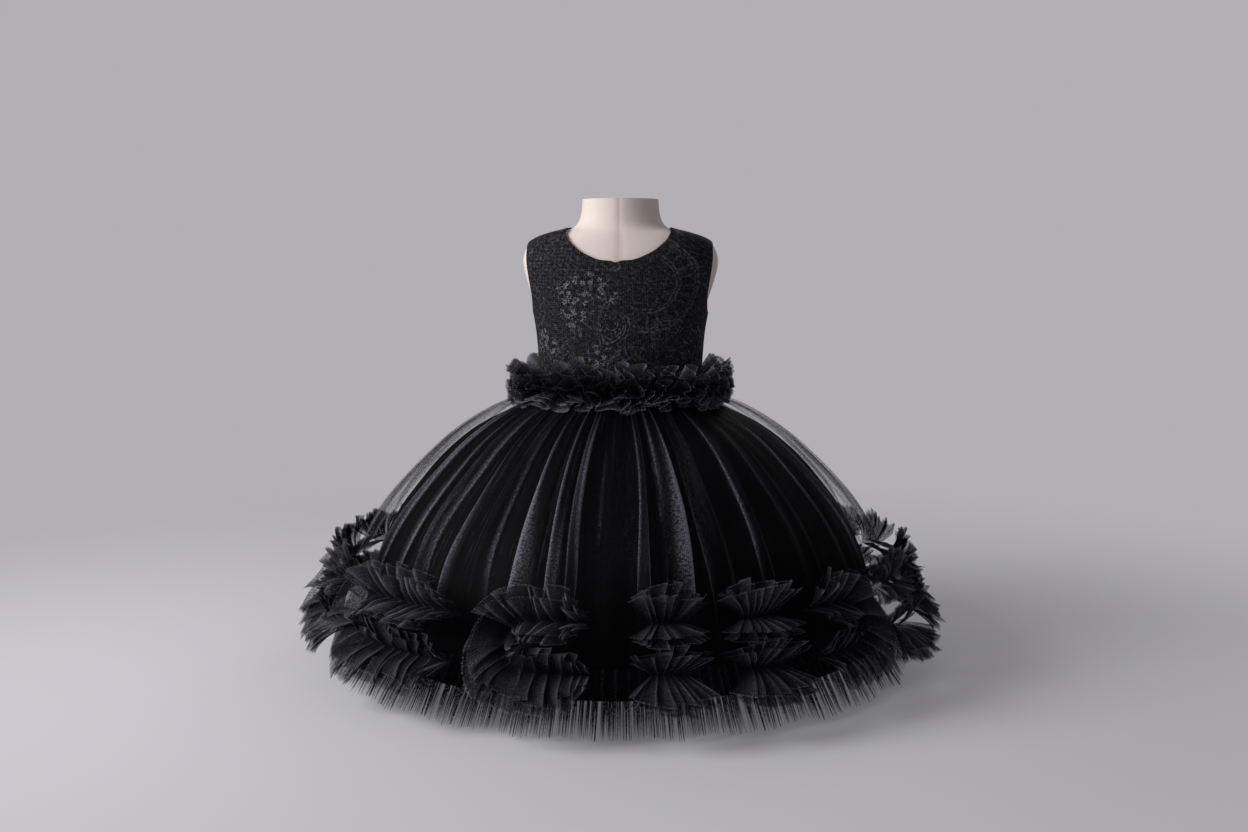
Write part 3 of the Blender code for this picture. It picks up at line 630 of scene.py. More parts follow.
# patches of flowers painted with a sheen, of leaf strokes and of open net: x, y, half width, half height
lacePatches = {
    "front": {"flowers": ((-0.034, 0.128, 0.036, 0.024), (-0.090, 0.064, 0.020, 0.018), (-0.017, 0.052, 0.013, 0.016),
                          (-0.050, 0.100, 0.018, 0.016), (0.070, 0.020, 0.016, 0.012)),
              "leaves": ((0.098, 0.066, 0.026, 0.024), (-0.078, 0.020, 0.022, 0.014)),
              "net": ((-0.095, 0.165, 0.050, 0.036),)},
    "back": {"flowers": ((0.050, 0.095, 0.026, 0.020), (0.110, 0.110, 0.020, 0.024)),
             "leaves": ((0.075, 0.020, 0.030, 0.016),), "net": ((0.100, 0.165, 0.050, 0.030),)},
}
# cord and shine are painted sheen: raised cords and satin flowers are painted lighter than the black thread
laceFinish = {
    "ground": (0.0024, 0.0024, 0.0028, 1), "thread": (0.0195, 0.0193, 0.0218, 1), "cord": (0.0560, 0.0550, 0.0620, 1),
    "shine": (0.1050, 0.1030, 0.1120, 1), "netCell": 0.0026, "openCell": 0.0044, "flowerCell": 0.0080,
}


def patchMask(place, patches):
    spots = []
    for x, y, wide, high in patches:
        near = vector("DIVIDE", vector("SUBTRACT", place, (x, y, 0)), (wide, high, 1))
        spots.append(ramp(vector("LENGTH", near, out="Value"), 1.15, 0.85))
    return layered(spots)


def makeLace(name, motifs, patches):
    material, tree, shader = newMaterial(name)
    uv = cutPlace(tree)
    shift = vector("SUBTRACT", noiseOn(uv, 60.0, 3.0, out="Color"), (0.5, 0.5, 0.5))
    place = vector("ADD", uv, scaled(shift, 0.0070))
    cords, fills = [], []
    for kind, x, y, turn, size, bend, *reach in motifs:
        given = {"Place": place, "Centre": (x, y, 0), "Turn": math.radians(turn), "Size": size,
                 ("Curl" if kind == "paisley" else "Growth"): bend}
        if reach:
            given["Reach"] = reach[0]
        cords.append(useGroup(motifGroups[kind], given, "Cord"))
        fills.append(cords[-1].beside("Fill"))
    motif = layered(fills)
    clear = (1.0 - motif).limited()
    # small flowers of five petals
    spot = scaled(place, 1 / laceFinish["flowerCell"])
    away = put(tree, "TexVoronoi", {"Vector": spot, "Scale": 1.0, "Randomness": 1.0}, "Distance",
               voronoi_dimensions="2D")
    px, py = split(vector("SUBTRACT", spot, away.beside("Position")))
    petals = abs(calc("SINE", calc("ARCTAN2", py, px) * 2.5))
    flower = ramp(petals * 0.22 + 0.26 - away, 0.0, 0.08) * ramp(away, 0.06, 0.12)
    everywhere = noiseOn(uv, 30.0, 2.0)
    bright = patchMask(place, patches["flowers"]) * ramp(noiseOn(uv, 62.0, 1.0), 0.38, 0.48)
    flowers = flower * most(bright, ramp(everywhere, 0.52, 0.60) * 0.35) * clear
    # short leaf strokes
    strokes = put(tree, "TexWave", {"Vector": place, "Scale": 62.0, "Distortion": 5.0, "Detail": 2.0}, "Fac",
                  bands_direction="DIAGONAL")
    stroke = ramp(strokes, 0.62, 0.90) * ramp(noiseOn(uv, 130.0, 1.0), 0.46, 0.56)
    leaf = stroke * most(patchMask(place, patches["leaves"]), 0.30) * clear
    raisedCords = layered(cords) * ramp(everywhere, 0.25, 0.55, 0.55, 1.0)
    fade = fadeOn(uv, 12.0, 0.6)
    mesh = blendColour(patchMask(place, patches["net"]) * clear, netOn(uv, laceFinish["netCell"], 0.17),
                       netOn(uv, laceFinish["openCell"], 0.22))
    colour = blendColour(mesh * 0.9, laceFinish["ground"], laceFinish["thread"])
    colour = blendColour(motif * 0.55, colour, laceFinish["ground"])
    # raised cords lighter, a painted sheen
    colour = blendColour((raisedCords * fade).limited(), colour, laceFinish["cord"])
    # flowers and leaf strokes in the shine colour, a painted sheen
    shown = most(flowers, leaf * 0.6)
    colour = blendColour((shown * fade).limited(), colour, laceFinish["shine"])
    knots = ramp(noiseOn(uv, 270.0, 3.0, 0.75), 0.39, 0.61, 0.15, 2.05)
    raised = most(raisedCords, shown)
    height = raised * 0.9 + mesh * 0.35 + motif * 0.25 + noiseOn(uv, 1500.0, 2.0) * 0.5
    fill(shader, {"Base Color": scaled(colour, knots), "Roughness": ramp(raised, 0.0, 1.0, 0.75, 0.45),
                  "Normal": bumped(height, 1.0, 0.0013), "Specular IOR Level": 0.14})
    return material


motifGroups = {"paisley": makePaisleyGroup(), "scroll": makeScrollGroup()}


def flatSpot(angle, height):
    # where that spot of the bodice lies on the flat cloth
    width, depth = outlineAt(formOutline, bodice["across"])
    return math.radians(angle) * (width + depth) / 2, height - bodice["hem"]


def makeBodice():
    front, back = (makeLace("lace" + half.capitalize(), laceMotifs[half], lacePatches[half])
                   for half in ("front", "back"))
    columns, rows = bodice["columns"], bodice["rows"]

    def frontPlace(u, v):
        side = 1 if u >= 0.5 else -1
        angle, height = panelSpot(frontRows, abs(2 * u - 1), v)
        return bodicePoint(side * angle, height, bodice["middle"])

    def backPlace(side):
        def place(u, v):
            angle, height = panelSpot(backRows, u, v)
            angle = 180 - side * max(angle, bodice["zipSlot"])
            return bodicePoint(angle, height, bodice["middle"])
        return place

    panels = [("laceBodiceFront", 2 * columns, frontPlace, front, "bodice_front", 0),
              ("laceBodiceBackLeft", columns, backPlace(1), back, "bodice_back_left", 1),
              ("laceBodiceBackRight", columns, backPlace(-1), back, "bodice_back_right", -1)]
    for name, count, place, material, nodeName, side in panels:
        piece = clothGrid(name, count, rows, place, bodice["net"], material)
        if side == 0:
            openNeck(piece)
        mesh = piece.data
        uv = mesh.uv_layers["cut"].data
        for loop in mesh.loops:
            point = mesh.vertices[loop.vertex_index].co
            angle = math.degrees(math.atan2(point.x / bodice["ratio"], -point.y))
            if side:
                angle = side * (180 - side * angle if side > 0 else -180 - angle)
            uv[loop.index].uv = flatSpot(angle, point.z)
        wall = piece.modifiers.new("wall", "SOLIDIFY")
        wall.thickness, wall.offset = bodice["wall"], 0.0
        wall.use_quality_normals = True
        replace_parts(piece, nodeName)
        wide, tall = bodice["cut"][side != 0]


def openNeck(piece):
    # the two halves meet on the centre line only below the neck
    bm = bmesh.new()
    bm.from_mesh(piece.data)
    bm.verts.ensure_lookup_table()
    wide = [edge for edge in bm.edges if edge.verts[0].co.x * edge.verts[1].co.x < -1e-9
            and edge.calc_length() > bodice["neckGap"]]
    bmesh.ops.delete(bm, geom=wide, context="EDGES")
    bm.to_mesh(piece.data)
    bm.free()


makeBodice()
print("bodice done")

# Skirt lining: plain opaque cloth with a few soft gathers
lining = {"columns": 180, "rows": 40, "low": 0.0360, "high": 0.3423, "wall": 0.0008, "gathers": 42, "depth": 0.0016,
          "fadeOver": 0.06, "cut": (2.13, 0.42), "cutShare": 0.66}


def makeLiningCloth():
    material, tree, shader = newMaterial("blackLining")
    uv = cutPlace(tree)
    warp = put(tree, "TexWave", {"Vector": uv, "Scale": 900.0, "Distortion": 1.0}, "Fac")
    colour = blendColour(warp, (0.0012, 0.0012, 0.0016, 1), (0.0026, 0.0026, 0.0032, 1))
    fill(shader, {"Base Color": scaled(colour, fadeOn(uv, 8.0, 0.5)), "Normal": bumped(warp, 0.15, 0.0002),
                  "Roughness": 0.6, "Specular IOR Level": 0.03})
    return material


def makeLining():
    def place(u, v):
        angle, height = 360 * u, mixed(lining["low"], lining["high"], v)
        wave = math.sin(2 * math.pi * lining["gathers"] * u + 1.4 * math.sin(2 * math.pi * 5 * u))
        swell = lining["depth"] * eased((lining["high"] - height) / lining["fadeOver"]) * wave
        return standOff(liningOutline, angle, height, swell)

    piece = clothGrid("skirtLining", lining["columns"], lining["rows"], place, lining["cut"], makeLiningCloth(),
                      ring=True, wall=lining["wall"])
    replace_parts(piece, "skirt_lining_front", "skirt_lining_back")


makeLining()
print("lining done")

# Tulle overlay: a gathered tube. Its fold bands stand off the skirt, with rolled edges, and fan out downwards
overlay = {
    "columnsPerFold": 34, "rows": 60, "hem": 0.0240, "waist": 0.3424, "others": 24, "unevenness": 0.18,
    "depths": ((0.0240, 0.0008), (0.1300, 0.0012), (0.1600, 0.0050), (0.1900, 0.0075), (0.2420, 0.0085),
               (0.3030, 0.0060), (0.3330, 0.0024), (0.3424, 0.0008)),
    "valley": 0.45, "creases": 0.0012, "gathers": 0.0011, "gathersFrom": 0.285, "cut": (3.0, 0.45),
    "fullDepth": 0.0075, "wander": 2.6, "widest": 0.36, "least": 0.17, "thread": (0.12, 0.08, 0.55),
    "tulle": {"lit": 0.168, "cover": 0.04, "foldCover": 0.54, "edgeWidth": 0.003, "fringe": None},
}
# crest angle, depth, half width in degrees and share of painted highlight of the folds that the front shows, less on
# the right, away from the key light
frontFolds = (
    (-56.5, 0.90, 2.2, 1.0), (-48.5, 0.80, 1.5, 1.1), (-40.0, 1.00, 2.6, 1.1), (-32.5, 1.00, 1.5, 1.0),
    (-24.5, 0.90, 2.2, 0.9), (-16.3, 1.10, 2.4, 1.0), (-10.2, 1.10, 1.5, 1.0), (-6.4, 0.80, 1.1, 0.9),
    (8.2, 0.90, 1.2, 0.6), (14.4, 1.10, 2.6, 0.9), (23.0, 1.00, 2.5, 0.55), (34.0, 0.75, 1.6, 0.5),
    (45.0, 0.60, 2.0, 0.35), (55.0, 0.80, 1.6, 0.5),
)
# half of a fold from its crest to the middle of the valley: place in the cloth, then in half widths, height, and the
# cover and painted highlight it gets
foldShape = ((0.00, 0.00, 0.86, 0.42), (0.16, 0.62, 1.00, 0.50), (0.26, 1.02, 0.88, 0.95), (0.32, 1.05, 0.60, 0.95),
             (0.40, 0.80, 0.28, 0.45), (0.50, 1.25, 0.02, 0.10))


def overlayFolds():
    last = frontFolds[-1][0]
    toGo = frontFolds[0][0] + 360 - last
    count = overlay["others"]
    widths = [1 + overlay["unevenness"] * (math.sin(2.4 * k) + math.sin(5.1 * k)) for k in range(count + 1)]
    folds = list(frontFolds)
    for k in range(1, count + 1):
        folds.append((last + toGo * sum(widths[:k]) / sum(widths), 0.9 + 0.2 * math.sin(1.7 * k),
                      1.8 + 0.6 * math.sin(2.9 * k), 0.8))
    return folds


def foldAt(share, halfWidth, span):
    # where the cloth of half a fold lies: angle from the crest, height, and its cover and painted highlight
    if share >= foldShape[-1][0]:
        start = foldShape[-1][1] * halfWidth
        across = (share - foldShape[-1][0]) / (1 - foldShape[-1][0])
        return mixed(start, span / 2, across), 0.02 * (1 - across), 0.10 * (1 - across) ** 2
    for low, high in zip(foldShape, foldShape[1:]):
        if share <= high[0]:
            between = (share - low[0]) / (high[0] - low[0])
            return tuple(mixed(low[i], high[i], between) * (halfWidth if i == 1 else 1) for i in (1, 2, 3))


def makeOverlay():
    folds = overlayFolds()
    count = len(folds)

    def place(u, v):
        height = overlay["hem"] + (overlay["waist"] - overlay["hem"]) * v
        k, share = stepAt(u, count)
        (angle, depth, half, litShare), (nextAngle, nextDepth, nextHalf, nextLitShare) = folds[k], folds[(k + 1) % count]
        span = (nextAngle - angle) % 360
        if share > 0.5:
            own, side, crest, deep, wide = 1 - share, -1, angle + span, nextDepth, nextHalf
            number, litShare = (k + 1) % count, nextLitShare
        else:
            own, side, crest, deep, wide, number = share, 1, angle, depth, half, k
        fall = readList(overlay["depths"], height)
        strong = min(fall / overlay["fullDepth"], 1)
        wander = overlay["wander"] * drift(number * 3.7, height * 5, 1.0)
        wide *= 1 + 0.8 * drift(number * 7.7, height * 6, 4.0 * side)
        wide = min(wide, span * overlay["widest"])
        away, rise, coverAndHighlight = foldAt(2 * own, wide, span)
        crest += wander * strong * (1 - 2 * own)
        here = crest + side * away
        lean = 1 + 0.7 * drift(number * 1.9, height * 6, 2.0 + side)
        crease = drift(here * 0.22, height * 4.0, 7.0)
        crease += 0.5 * drift(here * 0.6, height * 6.0, 3.0)
        gather = eased((height - overlay["gathersFrom"]) / (overlay["waist"] - overlay["gathersFrom"]))
        ripple = math.sin(here * 2.1 + 2.0 * math.sin(here * 0.31))
        fine = ripple * overlay["gathers"] * gather
        out = fall * deep * lean * (rise - overlay["valley"]) + overlay["creases"] * strong * crease + fine
        point = standOff(overlayOutline, here, height, out)
        shade = 0.95 + 2.1 * drift(number * 2.3, height * 5, side * own * 4.4)
        lines = drift(here * 0.55, height * 1.6, 5.0) + 0.6 * drift(here * 1.3, height * 2.5, 15.0)
        level, width, shown = overlay["thread"]
        lines = max(0.0, 1 - abs(lines - level) / width) * shown * strong
        coverAndHighlight *= strong * min(deep, 1.0) * max(shade, 0.1)
        # this sets the cloth's cover and its painted highlight; the front folds on the right get less, a painted
        # shade
        return point, max(litShare * max(coverAndHighlight, lines, 0.50 * gather * max(ripple, 0) ** 2), overlay["least"] * strong)

    material = makeTulle("tulleOverlay", overlay["cut"][1], **overlay["tulle"])
    piece = clothGrid("tulleOverlay", count * overlay["columnsPerFold"], overlay["rows"], place, overlay["cut"],
                      material, ring=True)
    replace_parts(piece, "skirt_overlay_front", "skirt_overlay_back")


makeOverlay()
print("overlay done")

# Waist ruffle: double tulle stitched along its middle, both edges of both layers fanned out
waistRuffle = {
    "stitch": 0.3505, "seat": 0.0029, "ovalShift": 4.0, "sway": 0.0084, "columnsPerWave": 28, "rows": 18,
    "ragged": 0.26, "crinkle": 0.0012, "dark": 0.14, "bright": 0.45, "cut": (1.3, 0.105),
    "tulle": {"lit": 0.310, "cover": 0.62, "foldCover": 0.95, "edgeWidth": 0.0025, "fringe": "both"},
    "layers": (
        ("waistRuffle", {"out": 0.0420, "up": 0.0275, "down": 0.0155, "waves": 30, "wave": 0.0098, "seed": 0}),
        ("waistRuffleOver", {"out": 0.0430, "up": 0.0110, "down": 0.0060, "waves": 25, "wave": 0.0116, "seed": 31}),
    ),
}


def evenCrests(count, phase, ovalShift=0.0):
    crests = []
    for k in range(count):
        angle = 360 * (k + 0.18 * math.sin(2.3 * k + phase)) / count
        angle -= ovalShift * math.sin(math.radians(2 * angle))
        crests.append((angle, 1 + 0.15 * math.sin(1.3 * k + 2 * phase)))
    return crests


def crestAt(crests, u):
    # the angle, depth, wave number and share of a wave at u, from 0 to 1 round the body
    count = len(crests)
    k, share = stepAt(u, count)
    span = (crests[(k + 1) % count][0] - crests[k][0]) % 360
    return crests[k][0] + span * share, mixed(crests[k][1], crests[(k + 1) % count][1], share), k, share


def makeWaistRuffle(name, layer, material):
    crests = evenCrests(layer["waves"], 1.1 + layer["seed"], waistRuffle["ovalShift"])

    def place(u, v):
        side = 2 * v - 1
        size = abs(side)
        angle, depth, _, share = crestAt(crests, u)
        turn = math.radians(angle)
        out = Vector((math.sin(turn), -math.cos(turn), 0))
        around = Vector((math.cos(turn), math.sin(turn), 0))
        way = 1 if side >= 0 else -1
        rise = layer["up"] if side >= 0 else layer["down"]
        spot = 9.0 * math.cos(turn), 9.0 * math.sin(turn)   # noise that closes round the body
        reach = drift(spot[0], spot[1], way + layer["seed"])
        slow = drift(spot[0] / 4, spot[1] / 4, 9 + way + layer["seed"])
        leg = out * layer["out"] * (0.92 + 0.16 * reach + 0.14 * slow) * size
        leg += Vector((0, 0, way * rise * (0.98 + waistRuffle["ragged"] * reach) * size))
        normal = (Vector((0, 0, layer["out"])) - out * rise * way).normalized()
        phase = 2 * math.pi * (share + 0.9 * drift(0.7 * spot[0], 0.7 * spot[1], way + layer["seed"]))
        flute = math.cos(phase) * (1 + 0.9 * drift(0.8 * spot[0], 0.8 * spot[1], way + 7))
        crinkle = drift(3 * spot[0], 3 * spot[1], size * 1.5 + way * 3)
        grown = size ** 0.55
        moved = normal * grown * (layer["wave"] * depth * flute + waistRuffle["crinkle"] * crinkle)
        moved += around * waistRuffle["sway"] * math.sin(2 * phase) * size
        point = bodicePoint(angle, waistRuffle["stitch"], waistRuffle["seat"]) + leg + moved
        # brighter on the outward crests of the flutes, a painted highlight, and darker near the stitching, a painted
        # shade; the same value sets the cover
        crest = waistRuffle["dark"] + min(max(0.0, way * flute * 0.5 + 0.5), 1.0) ** 2 * waistRuffle["bright"]
        return point, crest * min(1, 0.2 + size)

    piece = clothGrid(name, layer["waves"] * waistRuffle["columnsPerWave"], waistRuffle["rows"], place,
                      waistRuffle["cut"], material, ring=True)
    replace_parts(piece, "waist_ruffle")


def makeWaistRuffles():
    material = makeTulle("tulleWaist", waistRuffle["cut"][1], **waistRuffle["tulle"])
    for name, layer in waistRuffle["layers"]:
        makeWaistRuffle(name, layer, material)


makeWaistRuffles()
print("waist ruffle done")

# Hem ruffles: open curls of one strip, and pairs of pinched bows
hemRuffle = {
    "height": 0.0970, "radius": 0.3540, "slope": 0.93, "row": 0.0265, "lift": 0.0290, "wave": 0.0080,
    "outer": 0.0335, "lowReach": 0.0070, "lowLift": 0.0140, "inner": 0.0245, "bowInner": 0.0245,
    "pinch": 0.0180, "curve": 0.22, "drop": 0.35, "margin": 0.0015, "seat": 0.0016,
    "pleat": 0.0135, "overlap": 0.50, "uneven": 0.90, "stepsPerPleat": 9, "rows": 16, "ragged": 0.26,
    "body": 0.38, "billow": 0.0110, "tilt": 0.0130, "over": (0.72, 0.85, 0.0110), "endTaper": 0.13,
    "length": 0.095, "fullness": 1.6, "endWidth": 0.30, "foldReach": 0.13,
    "tulle": {"lit": 0.140, "cover": 0.64, "foldCover": 0.96, "edgeWidth": 0.0055, "fringe": "both"},
}
# name, angle, width in degrees, kind, the way it opens
clusters = (
    ("01", -11.7, 21.0, "curl", 1), ("02", 11.4, 14.6, "bows", 1), ("03", 28.0, 16.8, "bows", 1),
    ("04", 47.6, 18.2, "curl", -1), ("05", 66.8, 19.4, "bows", 1), ("06", 87.0, 19.8, "curl", 1),
    ("07", 106.4, 18.2, "bows", 1), ("08", 125.3, 18.8, "curl", -1), ("09", 144.0, 17.8, "bows", 1),
    ("10", 162.4, 18.2, "curl", 1), ("11", 180.5, 17.2, "bows", 1), ("12", 199.0, 19.0, "curl", -1),
    ("13", 218.0, 18.2, "bows", 1), ("14", 236.9, 18.8, "curl", 1), ("15", 255.6, 17.8, "bows", 1),
    ("16", 273.9, 18.0, "bows", 1), ("17", 292.9, 19.2, "curl", 1), ("18", 318.8, 31.2, "curl", 1),
)


def onOverlay(across, up, out, clusterAngle):
    angle = clusterAngle + math.degrees(across / hemRuffle["radius"])
    height = hemRuffle["height"] + hemRuffle["slope"] * up
    return standOff(overlayOutline, angle, height, hemRuffle["seat"] + out)


def knifePleat(along, seed):
    # pleats laid like shingles: way along in pleats, height, how near the fold, the pleat's own random length
    def edge(k):
        return k + hemRuffle["uneven"] * drift(k * 1.31, seed, 2)

    k = math.floor(along)
    k += (along >= edge(k + 1)) - (along < edge(k))
    start, wide = edge(k), edge(k + 1) - edge(k)
    share = min(max((along - start) / wide, 0), 1)
    turn = 0.62 + 0.12 * drift(k * 1.7, seed, 0)
    overlap = hemRuffle["overlap"] * (1 + 1.3 * drift(k * 2.3, seed, 8))
    high = 1 + 1.0 * drift(k * 2.9, seed, 5)
    if share < turn:
        part = share / turn
        ahead, rise = (1 + overlap) * part, part ** 1.3
    else:
        part = (share - turn) / (1 - turn)
        ahead, rise = 1 + overlap * (1 - part), 1 - part
    nearFold = max(0.0, 1 - abs(share - turn) / hemRuffle["foldReach"])
    length = 1.2 * drift(k * 3.9, seed, 11) + 0.35 * (share - 0.5)
    tilt = mixed(drift(k * 1.7, seed, 21), drift(k * 1.7 + 1.7, seed, 21), share)
    return wide * (ahead - share), high * (rise - 0.45), nearFold, length, tilt


def curlPlace(along, straight):
    turnLength = math.pi * hemRuffle["row"]
    gone = along * (2 * straight + turnLength)
    if gone <= straight:
        return Vector((straight - gone, hemRuffle["row"])), Vector((-1, 0))
    if gone >= straight + turnLength:
        return Vector((gone - straight - turnLength, -hemRuffle["row"])), Vector((1, 0))
    angle = math.pi / 2 + (gone - straight) / hemRuffle["row"]
    spot = Vector((math.cos(angle), math.sin(angle)))
    return spot * hemRuffle["row"], Vector((-spot[1], spot[0]))


def makeStrip(name, pleats, spotOf, long, angle, material, nodeName, seed, layer, evenness):
    # a pleated strip: spotOf says where it lies on the skirt and how high it stands before the pleats
    def place(u, v):
        share = 2 * v - 1
        size = abs(share)
        grown = size ** 0.6
        ahead, rise, nearFold, length, tilt = knifePleat(u * pleats, seed)
        uneven = drift(u * pleats * evenness, seed, 9 + share)
        stretch = layer[0] * (1 + 0.10 * uneven + hemRuffle["ragged"] * length)
        across, up, high = spotOf(u, share, ahead * grown / pleats, hemRuffle["tilt"] * tilt * size, uneven, stretch)
        lift = high * (1 - (1 - size) ** 1.5) * layer[1] + layer[2]   # steep at its stitching, then it bends over
        lift += hemRuffle["wave"] * rise * grown
        lift += hemRuffle["billow"] * size * drift(u * pleats * 0.5, size * 1.4, seed + 4 * (share > 0))
        # folds and the tops of the pleats show more of the thread and get a painted highlight; near the crowded
        # stitching both fall away, a painted shade
        coverAndHighlight = max(nearFold, hemRuffle["body"] * (0.5 + 0.9 * rise)) * min(1, 0.35 + size * 1.4)
        return onOverlay(across, up, max(lift, 0), angle), coverAndHighlight

    piece = clothGrid(name, pleats * hemRuffle["stepsPerPleat"], hemRuffle["rows"], place,
                      (long * hemRuffle["fullness"], hemRuffle["length"]), material)
    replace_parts(piece, nodeName)


def makeCurl(name, angle, width, opens, *rest):
    reach = math.radians(width / 2) * hemRuffle["radius"] - hemRuffle["margin"]
    turnCentre = -reach + hemRuffle["outer"] + hemRuffle["row"]
    straight = reach - turnCentre
    path = 2 * straight + math.pi * hemRuffle["row"]
    pleats = round(path / hemRuffle["pleat"])

    def spotOf(u, share, slide, tilt, uneven, stretch):
        slide *= min(1, (1 - u) * pleats / 3)
        centre, heading = curlPlace(min(max(u + slide, 0), 1), straight)
        outside = Vector((heading[1], -heading[0]))
        low = max(0.0, -outside[1]) if share > 0 else 0.0
        wide = hemRuffle["outer"] + hemRuffle["lowReach"] * low if share > 0 else hemRuffle["inner"]
        wide *= stretch * mixed(hemRuffle["endWidth"], 1, eased(min(u, 1 - u) / hemRuffle["endTaper"]))
        spot = centre + outside * share * wide + heading * tilt
        high = (hemRuffle["lift"] + hemRuffle["lowLift"] * low) * (1 + 0.16 * uneven)
        return (turnCentre + spot[0]) * opens, spot[1], high

    makeStrip(name, pleats, spotOf, path, angle, *rest, 0.35)


def makeBow(name, angle, width, up, *rest):
    reach = math.radians(width / 2) * hemRuffle["radius"] - hemRuffle["margin"]
    pleats = max(8, round(2 * reach / hemRuffle["pleat"]))

    def spotOf(u, share, slide, tilt, uneven, stretch):
        lowEdge = up < 0 < share
        tall = (hemRuffle["outer"] if share > 0 else hemRuffle["bowInner"]) + hemRuffle["lowReach"] * lowEdge
        along = 2 * min(max(u + slide, 0), 1) - 1
        spread = hemRuffle["pinch"] + (reach - hemRuffle["pinch"]) * abs(share)
        upward = up * share * tall * (1 - hemRuffle["curve"] * along ** 2) * stretch
        high = hemRuffle["lift"] * (1 - hemRuffle["drop"] * along ** 2) + hemRuffle["lowLift"] * lowEdge
        across = along * spread + tilt * (1 - 0.7 * abs(along))
        return across, up * hemRuffle["row"] + upward, high * (1 + 0.14 * uneven)

    makeStrip(name, pleats, spotOf, 2 * reach, angle, *rest, 0.4)


def makeHemRuffles():
    # every ruffle is a strip of double tulle: a wide layer, and a narrower one that stands on its folds
    material = makeTulle("tulleRuffle", hemRuffle["length"], **hemRuffle["tulle"])
    for seed, (name, angle, width, kind, opens) in enumerate(clusters):
        for suffix, layer in (("", (1.0, 1.0, 0.0)), ("Over", hemRuffle["over"])):
            turn = seed * 7.3 + 3.1 * len(suffix)
            piece, node = "hemRuffle" + name, "hem_ruffle_" + name
            if kind == "curl":
                makeCurl(piece + suffix, angle, width, opens, material, node, turn, layer)
                continue
            for label, up in (("upper", 1), ("lower", -1)):
                makeBow(piece + label.capitalize() + suffix, angle, width, up, material, node + "_" + label,
                        turn + up, layer)


makeHemRuffles()
print("hem ruffles done")

# Hem flounce: a finely pleated strip under the ruffles
flounce = {"waves": 27, "fine": 6, "stepsPerPleat": 8, "rows": 14, "top": 0.0700, "hem": 0.0040, "radius": 0.3765,
           "wave": 0.0055, "fineWave": 0.0032, "seat": 0.0023, "swing": 0.0005, "ragged": 0.004, "dense": 0.4,
           "cut": (3.3, 0.080),
           "tulle": {"lit": 0.060, "cover": 0.95, "foldCover": 0.98, "edgeWidth": 0.038, "fringe": "low"}}


def makeFlounce():
    crests = evenCrests(flounce["waves"], 0.4)

    def place(u, v):
        angle, depth, k, share = crestAt(crests, u)
        turn = math.radians(angle)
        away = Vector((math.sin(turn), -math.cos(turn), 0))
        _, swing, nearFold, ragged, _ = knifePleat((k + share) * flounce["fine"], 2.2)
        low = 1 - v
        radius = flounce["radius"] + flounce["wave"] * depth * math.cos(2 * math.pi * share) * 0.8
        radius += flounce["fineWave"] * 2 * swing
        bottom = away * radius + Vector((0, 0, flounce["hem"] + flounce["ragged"] * (0.5 + ragged)))
        top = standOff(liningOutline, angle, flounce["top"], flounce["seat"] + flounce["swing"] * swing)
        # the folds get more cover and a painted highlight
        return top.lerp(bottom, low ** 0.92), nearFold * flounce["dense"]

    material = makeTulle("tulleFlounce", flounce["cut"][1], **flounce["tulle"])
    piece = clothGrid("hemFlounce", flounce["waves"] * flounce["fine"] * flounce["stepsPerPleat"], flounce["rows"],
                      place, flounce["cut"], material, ring=True)
    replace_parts(piece, "hem_flounce")


makeFlounce()
print("flounce done")

# Zip at the centre back: woven tape, coil teeth, slider and pull
zipParts = {"low": 0.3470, "high": 0.5190, "pitch": 0.0016, "tooth": (0.0018, 0.0011, 0.00112), "out": 0.0003,
            "across": 0.0003, "edge": 0.0002}


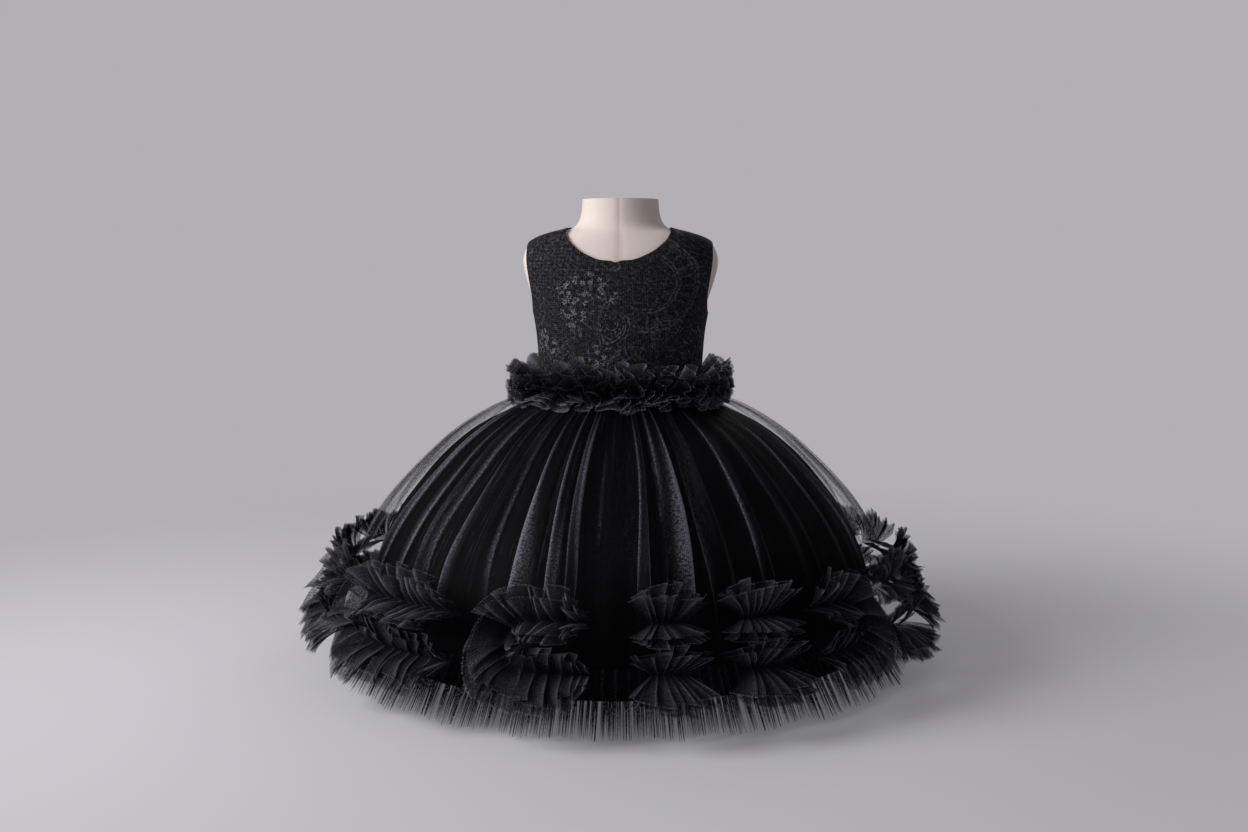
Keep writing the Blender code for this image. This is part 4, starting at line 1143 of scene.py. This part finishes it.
def makeZip():
    tape, tree, shader = newMaterial("wovenTape")
    rib = put(tree, "TexWave", {"Vector": objectPlace(tree), "Scale": 320.0}, "Fac", bands_direction="Z")
    fill(shader, {"Base Color": blendColour(rib, (0.008, 0.008, 0.009, 1), (0.022, 0.022, 0.024, 1)),
                  "Normal": bumped(rib, 0.4, 0.0003), "Roughness": 0.75})
    metal, tree, shader = newMaterial("blackEnamel")
    fade = fadeOn(objectPlace(tree), 160.0, 0.5)
    fill(shader, {"Base Color": scaled((0.030, 0.030, 0.032), fade), "Metallic": 0.6,
                  "Roughness": ramp(fade, 0.8, 1.2, 0.25, 0.42)})
    for name, material in (("zip_tape", tape), ("zip_slider", metal), ("zip_pull", metal)):
        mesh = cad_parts[name].data
        mesh.materials.clear()
        mesh.materials.append(material)
    bm = bmesh.new()
    count = int((zipParts["high"] - zipParts["low"]) / zipParts["pitch"])
    for i in range(count):
        height = zipParts["low"] + zipParts["pitch"] * i
        side = 1 if i % 2 else -1
        at = bodicePoint(180, height, zipParts["out"])
        size = Matrix.Diagonal((*zipParts["tooth"], 1))
        at += Vector((side * zipParts["across"], 0, 0))
        bmesh.ops.create_cube(bm, size=1.0, matrix=Matrix.Translation(at) @ size)
    bmesh.ops.bevel(bm, geom=list(bm.edges), offset=zipParts["edge"], offset_type="OFFSET", segments=1, profile=0.5,
                    affect="EDGES", material=-1)
    addPiece("zipTeeth", meshFrom(bm, "zipTeeth"), metal)


makeZip()
print("zip done")

# Studio: pale floor that fades into a pale surround and glows a little, painted light that lifts the shadow under the
# dress; a large soft key from the front left, weak fill
studio = {
    "grey": (0.442, 0.432, 0.458, 1), "around": 0.38, "floor": (0.503, 0.495, 0.522, 1), "floorRadius": 6.0,
    "floorGlow": 0.24, "fades": (0.45, 1.5),
    # name, place, aim, size, power
    "lights": (("key", (-2.15, -1.0, 1.5), (0, 0, 0.25), (1.5, 1.5), 74.0),
               ("fill", (1.6, -1.6, 0.9), (0, 0, 0.25), (1.4, 1.4), 2.2),
               ("rim", (0.8, 1.9, 1.6), (0, 0, 0.3), (1.4, 1.0), 6.0)),
}


def addLight(name, place, aim, size, power):
    lamp = bpy.data.lights.new(name, "AREA")
    lamp.shape, lamp.energy = "RECTANGLE", power
    lamp.size, lamp.size_y = size
    light = addObject(name, lamp)
    light.location = place
    light.rotation_euler = (Vector(aim) - Vector(place)).to_track_quat("-Z", "Y").to_euler()


def makeStudio():
    world = bpy.data.worlds.new("studio")
    bpy.context.scene.world = world
    world.use_nodes = True
    surround = world.node_tree.nodes["Background"]
    # the backdrop looks as pale as the photograph's, and lights the cloth less
    seen = put(world.node_tree, "LightPath", out="Is Camera Ray")
    fill(surround, {"Color": studio["grey"], "Strength": ramp(seen, 0.0, 1.0, studio["around"], 1.0)})
    material, tree, shader = newMaterial("paleFloor")
    reach = vector("LENGTH", objectPlace(tree), out="Value")
    # the floor's glow is painted light: it makes the floor's shadow under the dress paler
    fill(shader, {"Alpha": ramp(reach, *studio["fades"], 1.0, 0.0), "Base Color": studio["floor"],
                  "Emission Color": studio["grey"], "Emission Strength": studio["floorGlow"], "Roughness": 0.9})
    bm = bmesh.new()
    bmesh.ops.create_circle(bm, cap_ends=True, segments=128, radius=studio["floorRadius"])
    floor = addObject("floor", meshFrom(bm, "floor"))
    floor.data.materials.append(material)
    for light in studio["lights"]:
        addLight(*light)
    bpy.context.scene.view_settings.view_transform = "Standard"
    bpy.context.scene.cycles.transparent_max_bounces = 32


makeStudio()
